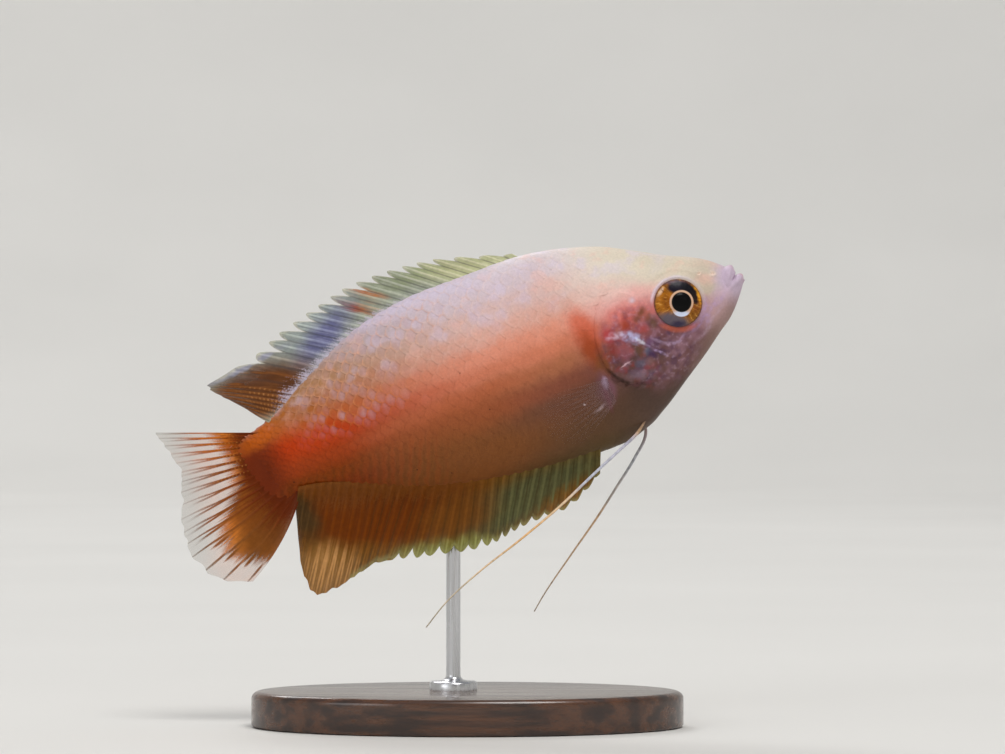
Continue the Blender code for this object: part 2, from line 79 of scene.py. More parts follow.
LEAN_FROM, LEAN_TO = 36.5, 42.2
SNOUT_U, SKIN_END = BODY[0, 0], BODY[-1, 0]

# The head's features.
EYE = (5.91, 0.12)
EYE_RADIUS = 1.98
MOUTH_FRONT = (0.36, 0.66)
MOUTH_CORNER = (1.50, -0.28)
LIP_FOLD = ((1.01, 1.66), (1.38, 1.25), (1.62, 0.70), (1.66, 0.15), (1.50, -0.30))
NOSTRILS = ((2.29, 1.35, 0.13), (3.38, 1.78, 0.10))
GILL_CENTRE = (10.98, -1.00)
GILL_LONG, GILL_SHORT, GILL_LEAN = 3.9, 2.55, math.radians(7.0)
THROAT_FOLD = ((2.4, -2.1), (4.5, -3.4), (7.0, -5.1), (9.6, -6.9))
PECTORAL_PLACE = (13.95, -4.55)

# Fins: where each key ray leaves the body, then the u and v of its tip and how far it bows up.
DORSAL_KEYS = (
    (16.6, 17.2, 9.05, 0.0),
    (19.8, 22.9, 10.86, 0.0),
    (23.6, 27.2, 11.50, 0.0),
    (26.8, 30.9, 11.54, 0.0),
    (30.2, 34.3, 10.85, 0.0),
    (33.2, 37.6, 10.05, 0.0),
    (36.6, 41.7, 8.72, 0.1),
    (37.9, 44.9, 8.25, 0.2),
    (39.1, 44.3, 7.05, 0.1),
    (40.2, 43.0, 5.60, 0.0),
    (41.2, 41.9, 4.15, 0.0),
)
ANAL_KEYS = (
    (16.5, 17.05, -10.7, 0.0),
    (18.2, 19.5, -12.05, 0.0),
    (22.0, 24.5, -12.42, 0.0),
    (26.0, 28.4, -12.85, 0.0),
    (30.0, 33.6, -11.70, 0.0),
    (33.4, 37.4, -10.85, 0.0),
    (36.0, 40.4, -11.45, -0.1),
    (38.0, 42.9, -11.40, -0.1),
    (39.4, 43.25, -9.40, 0.0),
    (40.5, 42.6, -6.80, 0.0),
    (41.3, 41.9, -4.40, 0.0),
)
CAUDAL_KEYS = (
    (3.05, 50.5, 6.10, 0.0),
    (2.20, 50.2, 4.60, 0.0),
    (1.20, 49.7, 2.50, 0.0),
    (0.10, 50.4, 0.40, 0.0),
    (-1.00, 51.4, -2.50, 0.0),
    (-1.90, 51.4, -4.80, -0.1),
    (-2.60, 50.2, -7.30, -0.3),
    (-3.20, 47.4, -8.50, -0.5),
)
PECTORAL_KEYS = (
    (-1.05, 4.6, -2.7, 0.0),
    (-0.55, 6.4, -1.8, 0.0),
    (0.00, 7.2, -0.3, 0.0),
    (0.55, 6.9, 1.2, 0.0),
    (1.05, 5.4, 2.2, 0.0),
)
PECTORAL_OUT = math.radians(38.0)
PECTORAL_DROP = math.radians(8.0)

# The thread-like pelvic fins: u, v and distance from the middle plane.
FEELER_ROOT = (11.9, -7.9, 1.2)
NEAR_FEELER = (
    (12.9, -8.62, 1.62),
    (14.9, -9.45, 1.75),
    (17.6, -10.50, 1.85),
    (21.1, -11.92, 2.05),
    (25.3, -13.33, 2.35),
    (29.3, -14.51, 2.70),
    (33.0, -15.95, 3.05),
    (35.1, -17.16, 3.30),
)
FAR_FEELER = (
    (12.3, -9.10, 1.50),
    (13.8, -10.55, 1.95),
    (16.1, -12.29, 2.55),
    (18.4, -13.99, 3.10),
    (21.9, -16.35, 3.80),
    (25.6, -18.94, 4.40),
    (26.4, -19.60, 4.50),
)

# The stand.
BASE_LENGTH, BASE_WIDTH, BASE_HEIGHT, BASE_EDGE = 36.0, 22.0, 3.0, 0.6
BASE_RADIUS = 14.0  # about the middle of its half length and half width
ROD_RADIUS = 0.6
ROD_X, ROD_Y = -1.2, 1.55
ROD_FOOT_RADIUS = 2.0
ROD_INSIDE, ROD_SUNK = 0.3, 0.8  # how deep in the flank counts as inside, and how much higher the rod goes


# Shape

def smooth_at(knots, values, at):
    """A cubic through the knots that doesn't overshoot, at many places."""
    knots = np.asarray(knots, float)
    values = np.asarray(values, float)
    steps = np.diff(knots)
    rises = np.diff(values) / steps
    slopes = np.empty_like(values)
    slopes[0], slopes[-1] = rises[0], rises[-1]
    slopes[1:-1] = (rises[:-1] * steps[1:] + rises[1:] * steps[:-1]) / (steps[1:] + steps[:-1])
    i = np.clip(np.searchsorted(knots, at) - 1, 0, len(steps) - 1)
    t = (np.asarray(at) - knots[i]) / steps[i]
    t2, t3 = t * t, t * t * t
    return (
        (2 * t3 - 3 * t2 + 1) * values[i]
        + (t3 - 2 * t2 + t) * steps[i] * slopes[i]
        + (3 * t2 - 2 * t3) * values[i + 1]
        + (t3 - t2) * steps[i] * slopes[i + 1]
    )


def step(x, low, high):
    """A smooth rise from 0 at low to 1 at high."""
    t = np.clip((np.asarray(x, float) - low) / (high - low), 0, 1)
    return t * t * (3 - 2 * t)


def hump(x, width):
    """A smooth hump, 1 at 0 and nearly 0 past twice its width."""
    return np.exp(-((np.asarray(x) / width) ** 2))


def section(u):
    """Back, belly, half width and widest height of the body at u."""
    return [smooth_at(BODY[:, 0], BODY[:, k], u) for k in range(1, 5)]


def sway(u):
    """How far the middle plane is bent to the fish's left at u."""
    return BEND * np.maximum(0, np.asarray(u) - BEND_FROM) ** 2


def to_world(u, v, y):
    """Points of the fish's frame, y measured from the bent middle plane, in metres."""
    u, v, y = np.broadcast_arrays(u, v, y)
    x = SNOUT_X - u * math.cos(NOSE_UP) - v * math.sin(NOSE_UP)
    z = SNOUT_Z - u * math.sin(NOSE_UP) + v * math.cos(NOSE_UP)
    return np.stack([x, y + sway(u), z], -1) * MM


def body_point(u, angle):
    """The plain body at u. Angle 0 is the back, and half a turn is the belly by way of the left."""
    top, bottom, half, middle = section(u)
    up, out = np.cos(angle), np.sin(angle)
    v = middle + up * np.where(up >= 0, top - middle, middle - bottom)
    lean = STALK_LEAN * np.clip((u - LEAN_FROM) / (LEAN_TO - LEAN_FROM), 0, 1)
    return u + lean * v, v, np.sign(out) * half * np.abs(out) ** KEEL


def flank(u, v):
    """Half width of the body at height v."""
    top, bottom, half, middle = section(u)
    t = np.where(v >= middle, (v - middle) / (top - middle), (middle - v) / (middle - bottom))
    return half * np.clip(1 - t * t, 0, 1) ** (KEEL / 2)


def off_line(u, v, line):
    """Distance from points to a line through the knots, in the side view."""
    line = np.array(line, float)
    best = np.full(np.shape(u), 1e9)
    for a, b in zip(line[:-1], line[1:]):
        d = b - a
        t = np.clip(((u - a[0]) * d[0] + (v - a[1]) * d[1]) / (d @ d), 0, 1)
        best = np.minimum(best, np.hypot(u - a[0] - t * d[0], v - a[1] - t * d[1]))
    return best


def gill_place(u, v):
    """Where a point is on the gill cover: how far out (1 at the rim), and how far to the rear."""
    du, dv = u - GILL_CENTRE[0], v - GILL_CENTRE[1]
    up = (dv * math.cos(GILL_LEAN) - du * math.sin(GILL_LEAN)) / GILL_LONG
    back = (du * math.cos(GILL_LEAN) + dv * math.sin(GILL_LEAN)) / GILL_SHORT
    return np.hypot(up, back), back


def relief(u, v):
    """How far the skin stands out from the plain body, in mm: lips, nostrils, orbit and gills."""
    du, dv = MOUTH_CORNER[0] - MOUTH_FRONT[0], MOUTH_CORNER[1] - MOUTH_FRONT[1]
    length = math.hypot(du, dv)
    along = ((u - MOUTH_FRONT[0]) * du + (v - MOUTH_FRONT[1]) * dv) / length
    above = ((v - MOUTH_FRONT[1]) * du - (u - MOUTH_FRONT[0]) * dv) / length
    mouth = (1 - step(along, 1.05, 1.6)) * (1 - step(u, 1.4, 2.0))
    slim = 1 - 0.45 * step(along, 0.0, 1.4)
    full = mouth * slim * (1 - 0.6 * step(along, 0.45, 1.3))
    out = 0.36 * full * hump(above - 0.68 * slim, 0.36 * slim)
    out += 0.34 * full * hump(above + 0.38 * slim, 0.36 * slim)
    out -= mouth * 0.32 * (1 - 0.9 * step(along, 0.3, 0.95)) * hump(above, 0.08)
    out -= 0.07 * hump(off_line(u, v, LIP_FOLD), 0.10)
    out -= 0.02 * hump(off_line(u, v, THROAT_FOLD), 0.16)
    for nostril_u, nostril_v, radius in NOSTRILS:
        r = np.hypot(u - nostril_u, v - nostril_v)
        out += 0.07 * hump(r - 1.7 * radius, 0.7 * radius) - 0.13 * hump(r, 0.7 * radius)
    r = np.hypot(u - EYE[0], v - EYE[1])
    behind = step((u - EYE[0] + (v - EYE[1])) / EYE_RADIUS, -1.2, 1.2)
    out += (0.03 + 0.08 * behind) * hump(r - 1.10 * EYE_RADIUS, 0.14)
    out -= 0.05 * hump(r - 1.32 * EYE_RADIUS, 0.16)
    out -= 0.30 * (1 - step(r, 0.80 * EYE_RADIUS, 1.0 * EYE_RADIUS))
    rim, back = gill_place(u, v)
    rear = step(back, -0.35, 0.35)
    out += 0.15 * step(back, -1.0, 0.5) * (1 - step(rim, 0.97, 1.03))
    low = 0.5 + 0.5 * step(GILL_CENTRE[1] - v, -1.0, 2.5)
    out -= 0.13 * low * rear * hump(rim - 1.07, 0.045)
    out += 0.07 * (1 - rear) * hump(rim - 0.97, 0.07)
    out -= 0.05 * rear * hump(rim - 0.80, 0.035)
    r = np.hypot((u - PECTORAL_PLACE[0] - 0.1) / 0.7, (v - PECTORAL_PLACE[1]) / 1.5)
    out += 0.14 * hump(r, 1.0)
    r = np.hypot((u - FEELER_ROOT[0]) / 0.9, (v - FEELER_ROOT[1]) / 0.5)
    out += 0.18 * hump(r, 1.0)
    return out


# Meshes

TINY = 1e-12
SHARP_EDGE = math.radians(55.0)  # edges that turn more than this are shaded as sharp


def table_at(table, at):
    """Values between the rows of a table of (place, value)."""
    return np.interp(at, *np.array(table).T)


def grid_faces(rows, columns, wrap=False):
    """Quads of a grid of points that is stored row by row. wrap joins the last column to the first."""
    r, c = np.meshgrid(np.arange(rows - 1), np.arange(columns if wrap else columns - 1), indexing="ij")
    here, above, after = r * columns, (r + 1) * columns, (c + 1) % columns
    return np.stack([here + c, here + after, above + after, above + c], -1).reshape(-1, 4)


def tube_faces(rows, count):
    """Faces of a tube of rings, whose ends are closed by the two points stored after the rings."""
    k = np.arange(count)
    after, end = (k + 1) % count, (rows - 1) * count
    caps = np.vstack([
        np.stack([np.full(count, rows * count), after, k], -1),
        np.stack([np.full(count, rows * count + 1), end + k, end + after], -1),
    ])
    return [grid_faces(rows, count, wrap=True), caps]


def sheet_faces(rows, columns):
    """Faces of a closed sheet: two grids of points, one behind the other, joined round their rim."""
    rim = np.concatenate([
        np.arange(columns),
        np.arange(1, rows) * columns + columns - 1,
        (rows - 1) * columns + np.arange(columns - 2, -1, -1),
        np.arange(rows - 2, 0, -1) * columns,
    ])
    near, behind, after = grid_faces(rows, columns), rows * columns, np.roll(rim, -1)
    edge = np.stack([after, rim, rim + behind, after + behind], -1)
    return np.vstack([near, near[:, ::-1] + behind, edge])


def volume(points, faces):
    """Six times the volume inside the faces: below zero where they point inwards."""
    total = 0.0
    for face in faces:
        p = points[face]
        for k in range(1, face.shape[1] - 1):
            total += np.einsum("ij,ij->", p[:, 0], np.cross(p[:, k], p[:, k + 1]))
    return total


def add_object(name, data):
    """A new object in the scene."""
    made = bpy.data.objects.new(name, data)
    bpy.context.scene.collection.objects.link(made)
    return made


def add_mesh(name, points, faces, material):
    """A new smooth mesh, from points in metres and arrays of faces."""
    mesh = bpy.data.meshes.new(name)
    mesh.from_pydata(points.tolist(), [], [q for f in faces for q in f.tolist()])
    mesh.shade_smooth()
    mesh.materials.append(material)
    return mesh


def make_piece(name, points, faces, material, slot, replaces, uv=None, **fields):
    """One piece of the model, in place of some nodes. fields are values that its points keep."""
    if volume(points, faces) < 0:
        faces = [f[:, ::-1] for f in faces]
    mesh = add_mesh(name, points, faces, material)
    for key, values in fields.items():
        values = np.asarray(values, np.float32)
        kind, part = ("FLOAT_VECTOR", "vector") if values.ndim == 2 else ("FLOAT", "value")
        mesh.attributes.new(key, kind, "POINT").data.foreach_set(part, values.ravel())
    if uv is not None:
        corners = np.empty(len(mesh.loops), np.int32)
        mesh.loops.foreach_get("vertex_index", corners)
        mesh.uv_layers.new(name="OFBake").data.foreach_set("uv", uv[corners].astype(np.float32).ravel())
    mesh.set_sharp_from_angle(angle=SHARP_EDGE)
    piece = add_object(name, mesh)
    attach(piece, "root")
    if replaces:
        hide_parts(*replaces)
    return piece


def curve_points(knots, count):
    """Points along a smooth line through the knots, evenly spread in length."""
    knots = np.array(knots, float)
    length = np.concatenate([[0], np.cumsum(np.linalg.norm(np.diff(knots, axis=0), axis=1))])
    at = np.linspace(0, length[-1], count)
    return np.stack([smooth_at(length, knots[:, k], at) for k in range(knots.shape[1])], -1)


def lathe(profile, count):
    """Points and faces of a closed turned shape: (radius, height) from one pole to the other."""
    profile = np.array(profile, float)
    angles = np.arange(count) * 2 * math.pi / count
    rings = profile[1:-1]
    r, z = rings[:, 0, None], rings[:, 1, None]
    body = np.stack([r * np.cos(angles), r * np.sin(angles), z + 0 * angles], -1).reshape(-1, 3)
    poles = [(0, 0, profile[0, 1]), (0, 0, profile[-1, 1])]
    return np.vstack([body, poles]), tube_faces(len(rings), count)


# Materials

MIDDLE = 2.0  # the height on the body at which a colour is lit as in the open
DEPTH_DROPPED = 1e6  # a scale at which the third coordinate no longer counts


def rgb(red, green, blue):
    """A screen colour as the linear colour that a shader takes."""
    def linear(c):
        c /= 255
        return c / 12.92 if c <= 0.04045 else ((c + 0.055) / 1.055) ** 2.4
    return (linear(red), linear(green), linear(blue), 1.0)


class Look:
    """A material, whose nodes are added one by one. An input is a socket or a plain value."""

    def __init__(self, name, **settings):
        self.material = bpy.data.materials.new(name)
        self.material.use_nodes = True
        self.tree = self.material.node_tree
        self.shader = self.tree.nodes["Principled BSDF"]
        self.tone = lambda colour, height: rgb(*colour)
        for key, value in settings.items():
            self.set(key.replace("_", " "), value)

    def set(self, socket, value):
        self.put(self.shader.inputs[socket], value)

    def put(self, socket, value):
        if isinstance(value, bpy.types.NodeSocket):
            self.tree.links.new(value, socket)
        else:
            socket.default_value = value

    def node(self, kind, inputs=(), **settings):
        """A new node. inputs are in order, or by name or number."""
        made = self.tree.nodes.new("ShaderNode" + kind)
        for key, value in settings.items():
            setattr(made, key, value)
        for key, value in inputs.items() if isinstance(inputs, dict) else enumerate(inputs):
            self.put(made.inputs[key], value)
        return made

    def math(self, operation, *inputs):
        return self.node("Math", inputs, operation=operation).outputs[0]

    def product(self, first, *others):
        for other in others:
            first = self.math("MULTIPLY", first, other)
        return first

    def vector_math(self, operation, *inputs):
        return self.node("VectorMath", inputs, operation=operation).outputs["Vector"]

    def distance(self, place, centre=(0.0, 0.0, 0.0)):
        return self.node("VectorMath", (place, centre), operation="DISTANCE").outputs["Value"]

    def shaded(self, colour, factor):
        return self.node("VectorMath", {0: colour, "Scale": factor}, operation="SCALE").outputs["Vector"]

    def number(self, name):
        return self.node("Attribute", attribute_name=name).outputs["Fac"]

    def vector(self, name):
        return self.node("Attribute", attribute_name=name).outputs["Vector"]

    def axis(self, vector, letter):
        return self.node("SeparateXYZ", (vector,)).outputs[letter]

    def fade(self, value, low, high, start=0.0, end=1.0):
        """A smooth change from start at low to end at high."""
        inputs = {"Value": value, "From Min": low, "From Max": high, "To Min": start, "To Max": end}
        return self.node("MapRange", inputs, interpolation_type="SMOOTHSTEP").outputs[0]

    def mix(self, share, first, second):
        return self.node("Mix", {0: share, 6: first, 7: second}, data_type="RGBA").outputs[2]

    def over(self, colour, tint, *shares, height=MIDDLE):
        """Lays a screen colour over another, as thickly as the shares multiplied together."""
        return self.mix(self.product(*shares), colour, self.tone(tint, height))

    def noise(self, place, scale, detail=2.0, stretch=None, output="Fac"):
        if stretch:
            place = self.node("Mapping", {"Vector": place, "Scale": stretch}).outputs[0]
        return self.node("TexNoise", {"Vector": place, "Scale": scale, "Detail": detail}).outputs[output]

    def shift(self, place, amount, scale):
        """The place, pushed about by noise, so that what is painted there has an uneven edge."""
        cloud = self.noise(place, scale, output="Color")
        centred = self.vector_math("SUBTRACT", cloud, (0.5, 0.5, 0.5))
        return self.vector_math("MULTIPLY_ADD", centred, (amount, amount, 0.0), place)

    def ramp(self, value, stops):
        """Colours along a value: (value, screen colour) from low to high."""
        low, high = stops[0][0], stops[-1][0]
        share = self.node("MapRange", {"Value": value, "From Min": low, "From Max": high}).outputs[0]
        made = self.node("ValToRGB", (share,))
        made.color_ramp.interpolation = "EASE"
        while len(made.color_ramp.elements) < len(stops):
            made.color_ramp.elements.new(0.5)
        for element, (at, colour) in zip(made.color_ramp.elements, stops):
            element.position = (at - low) / (high - low)
            element.color = self.tone(colour, at)
        return made.outputs[0]

    def measured(self, place, centre, radii, tilt=0.0):
        """The place in the side view, seen from centre, turned by tilt and measured in radii."""
        inputs = {
            "Vector": place,
            "Location": (*centre, 0.0),
            "Rotation": (0.0, 0.0, math.radians(tilt)),
            "Scale": (*radii, DEPTH_DROPPED),
        }
        return self.node("Mapping", inputs, vector_type="TEXTURE").outputs[0]

    def spot_mask(self, place, centre, radii, tilt=0.0, soft=0.5):
        """1 inside an oval of the side view and 0 outside, with a soft edge."""
        return self.fade(self.distance(self.measured(place, centre, radii, tilt)), 1 + soft, 1 - soft)

    def spot(self, colour, place, tint, centre, radii, tilt=0.0, soft=0.5, strength=1.0):
        """Paints an oval of tint over a colour."""
        mask = self.spot_mask(place, centre, radii, tilt, soft)
        return self.over(colour, tint, mask, strength, height=centre[1])

    def spots(self, colour, place, table):
        for tint, *spot in table:
            colour = self.spot(colour, place, tint, *spot)
        return colour

    def raise_surface(self, height, distance, strength=1.0):
        inputs = {"Height": height, "Distance": distance, "Strength": strength}
        self.set("Normal", self.node("Bump", inputs).outputs[0])


# Colours from belly to back: height v, then the colour there, for the head, the flank and the tail.
# The change from a pale back to a dark belly is partly the fish's own colour and partly painted light from
# above and painted shade below.
HEAD_BANDS = (
    (-8.0, (76, 60, 53)),
    (-5.5, (74, 57, 50)),
    (-4.0, (90, 66, 64)),
    (-2.5, (88, 61, 65)),
    (-1.0, (124, 76, 78)),
    (0.5, (176, 104, 98)),
    (2.0, (218, 166, 160)),
    (3.5, (216, 188, 180)),
    (5.0, (214, 200, 190)),
    (7.5, (212, 201, 194)),
)
FLANK_BANDS = (
    (-9.2, (79, 64, 42)),
    (-7.0, (88, 64, 46)),
    (-4.0, (102, 68, 54)),
    (-2.5, (122, 72, 56)),
    (-1.0, (158, 98, 70)),
    (0.5, (194, 117, 90)),
    (2.0, (211, 138, 115)),
    (3.5, (208, 159, 145)),
    (5.0, (204, 172, 167)),
    (7.0, (200, 183, 190)),
    (9.2, (210, 202, 204)),
)
TAIL_BANDS = (
    (-6.0, (98, 44, 3)),
    (-4.0, (114, 46, 4)),
    (-2.5, (120, 56, 12)),
    (-1.0, (150, 60, 26)),
    (0.8, (164, 54, 16)),
    (2.0, (170, 84, 38)),
    (3.5, (160, 93, 44)),
    (5.0, (158, 112, 70)),
    (7.0, (158, 138, 134)),
    (8.5, (162, 148, 164)),
)
# Patches of colour: screen colour, centre, radii, tilt, softness, strength.
PATCHES = (
    ((206, 195, 177), (7.4, 4.6), (5.0, 2.0), 31, 0.5, 0.9),
    ((200, 189, 170), (4.8, 2.9), (3.6, 1.2), 30, 0.5, 0.9),
    ((186, 173, 156), (2.9, 1.0), (1.8, 1.7), 0, 0.5, 0.95),
    ((206, 170, 156), (2.95, 1.15), (0.9, 0.42), 20, 0.7, 0.75),
    ((184, 166, 184), (1.1, 0.2), (1.3, 1.9), 10, 0.5, 1.0),
    ((190, 164, 178), (2.5, -0.9), (1.1, 0.8), -40, 0.6, 0.9),
    ((150, 124, 120), (2.9, -2.6), (2.2, 1.0), -42, 0.5, 0.9),
    ((176, 142, 142), (4.0, -1.7), (1.7, 1.1), -38, 0.6, 0.9),
    ((128, 92, 102), (6.2, -2.9), (2.0, 1.3), -30, 0.6, 0.9),
    ((118, 92, 84), (5.2, -4.2), (2.4, 0.7), -38, 0.5, 0.8),
    ((112, 80, 80), (7.6, -4.4), (2.6, 1.0), -33, 0.6, 0.8),
    ((208, 112, 104), (10.2, 0.9), (1.9, 0.9), 10, 0.6, 0.7),
    ((196, 92, 64), (13.9, 1.0), (0.9, 1.9), -8, 0.6, 0.8),
    ((138, 60, 30), (14.0, -0.8), (0.8, 1.5), -8, 0.6, 0.8),
    ((114, 68, 40), (13.5, -2.3), (0.7, 0.9), 0, 0.6, 0.8),
    ((112, 76, 88), (14.1, -4.4), (0.7, 1.3), 10, 0.6, 0.8),
    ((174, 94, 64), (26.5, -0.9), (6.5, 0.7), 0, 0.6, 0.7),
    ((148, 80, 48), (27.0, -2.5), (6.5, 1.5), 0, 0.6, 0.8),
    ((120, 72, 38), (27.0, -5.6), (7.0, 2.6), 4, 0.6, 0.85),
    ((184, 60, 20), (38.2, 0.8), (3.6, 1.1), 0, 0.7, 0.55),
    ((106, 42, 0), (43.7, -0.7), (2.2, 3.3), 10, 0.6, 1.0),
    ((176, 84, 20), (42.4, 2.5), (1.7, 0.7), -12, 0.6, 0.9),
    ((186, 150, 138), (41.6, 3.8), (1.8, 0.24), -12, 0.6, 0.45),
)
# Small marks on the gill cover and cheek.
MARKS = (
    ((112, 70, 52), (9.05, 0.55), (0.44, 0.32), -30, 0.9, 0.9),
    ((116, 70, 56), (9.6, 0.12), (0.3, 0.26), 0, 0.9, 0.8),
    ((118, 72, 58), (8.65, -0.05), (0.2, 0.42), 30, 0.9, 0.8),
    ((150, 62, 44), (10.7, -0.05), (0.5, 0.42), 0, 0.9, 0.9),
    ((168, 56, 62), (12.3, -0.3), (0.45, 0.6), 0, 0.9, 0.85),
    ((160, 66, 62), (9.4, -0.75), (0.4, 0.35), 0, 0.9, 0.7),
    ((98, 72, 56), (8.45, -0.65), (0.3, 0.45), 10, 0.9, 0.8),
    ((206, 190, 204), (9.4, 1.72), (0.24, 0.2), 0, 0.9, 0.7),
    ((226, 204, 188), (2.29, 1.35), (0.24, 0.22), 0, 0.9, 0.7),
    ((226, 204, 188), (3.38, 1.78), (0.2, 0.18), 0, 0.9, 0.6),
    ((120, 50, 44), (12.35, -1.5), (0.35, 0.6), 0, 0.9, 0.8),
    ((140, 80, 84), (11.5, -1.9), (0.6, 0.75), 0, 0.9, 0.75),
    ((90, 68, 54), (10.35, -2.35), (0.42, 0.6), 10, 0.9, 0.85),
    ((104, 76, 108), (9.35, -2.0), (0.4, 0.35), -20, 0.9, 0.7),
    ((92, 94, 112), (9.75, -2.65), (0.3, 0.25), 0, 0.9, 0.8),
    ((64, 46, 76), (9.45, -3.0), (0.3, 0.42), -20, 0.9, 0.85),
    ((130, 94, 94), (9.9, -3.5), (0.4, 0.35), 0, 0.9, 0.6),
    ((80, 58, 54), (11.05, -2.9), (0.25, 0.3), 0, 0.9, 0.8),
    ((88, 82, 96), (10.6, -3.35), (0.42, 0.35), 0, 0.9, 0.8),
    ((194, 162, 168), (11.85, -3.0), (0.4, 0.06), -12, 0.9, 0.8),
    ((118, 98, 110), (11.1, -4.15), (0.8, 0.32), 10, 0.9, 0.6),
    ((104, 62, 68), (11.0, -4.95), (0.9, 0.14), 10, 0.9, 0.7),
    # The whitish-lilac mark on the top of the pectoral fin's raised base is a painted highlight over its
    # lilac.
    ((180, 160, 186), (14.0, -3.85), (0.20, 0.42), 8, 0.9, 0.75),
    ((112, 62, 76), (14.2, -5.1), (0.16, 0.9), 4, 0.9, 0.6),
    ((186, 168, 172), (15.1, -5.6), (0.45, 0.12), -20, 0.9, 0.5),
    ((210, 196, 198), (16.2, -4.86), (0.09, 0.09), 0, 0.9, 0.7),
)
# Thin lines: screen colour, half width, strength, then the points they run through.
STROKES = (
    ((204, 176, 194), 0.26, 0.7, (12.4, -0.40), (11.7, -0.50), (11.0, -0.66)),
    ((184, 186, 226), 0.36, 0.85, (11.15, -0.66), (10.5, -1.10), (10.0, -1.65)),
    ((208, 208, 212), 0.13, 0.75, (10.2, -1.45), (9.75, -2.0)),
    ((172, 150, 190), 0.10, 0.6, (9.75, -2.0), (9.1, -2.8), (8.4, -3.5)),
    ((168, 144, 172), 0.12, 0.5, (8.9, -1.9), (8.2, -2.58), (7.5, -2.85), (6.9, -2.83), (6.35, -2.4)),
    # The near-black line along the lower rear rim of the gill cover is painted shade in the slit under the
    # rim.
    ((50, 38, 34), 0.16, 0.85, (13.3, -3.0), (12.85, -3.8), (12.2, -4.5), (11.0, -5.0)),
    ((164, 138, 186), 0.26, 0.5, (3.75, -0.4), (4.1, -1.3), (4.9, -2.0), (5.9, -2.35)),
    ((166, 142, 186), 0.28, 0.5, (2.2, -0.7), (3.1, -1.0), (3.9, -1.5), (4.3, -2.3)),
    ((176, 152, 170), 0.16, 0.45, (2.6, -1.5), (3.4, -1.9), (4.4, -2.8), (5.6, -3.3)),
)
# Clouds on the gill cover: size as noise scale, noise levels that start and end a fade, tint, strength.
GILL_CLOUDS = (
    (0.8, 0.60, 0.34, (90, 58, 54), 0.55),
    (1.2, 0.42, 0.72, (164, 126, 146), 0.34),
    (1.5, 0.58, 0.32, (76, 54, 82), 0.50),
    (2.4, 0.52, 0.80, (202, 174, 194), 0.26),
)
# What the wet skin reflects of the pale room, and the share of its paint that the light gives back, by v.
GLOSS = 0.005
LIT = ((-8.0, 0.66), (-4.0, 0.76), (-1.0, 0.80), (2.0, 0.86))
DARKEST = 0.002
MUSCLE_SPACING, MUSCLE_LEAN, MUSCLE_HEIGHT = 0.8, 0.39, -3.5


def flesh_tone(colour, height=MIDDLE):
    """The paint that shows as a screen colour on the lit, glossy skin."""
    lit = table_at(LIT, height)
    return tuple(max(DARKEST, (c - GLOSS) / lit) for c in rgb(*colour)[:3]) + (1.0,)


def strokes(look, colour, place):
    """Paints thin, broken lines through the points of each stroke."""
    broken = look.fade(look.noise(place, 2.2, 1.0), 0.30, 0.70, 0.2, 1.0)
    for tint, width, strength, *points in STROKES:
        for (u0, v0), (u1, v1) in zip(points[:-1], points[1:]):
            tilt = math.degrees(math.atan2(v1 - v0, u1 - u0))
            reach = 0.62 * math.hypot(u1 - u0, v1 - v0)
            middle = (0.5 * (u0 + u1), 0.5 * (v0 + v1))
            solid = look.product(broken, strength)
            colour = look.spot(colour, place, tint, middle, (reach, width), tilt, 0.8, solid)
    return colour


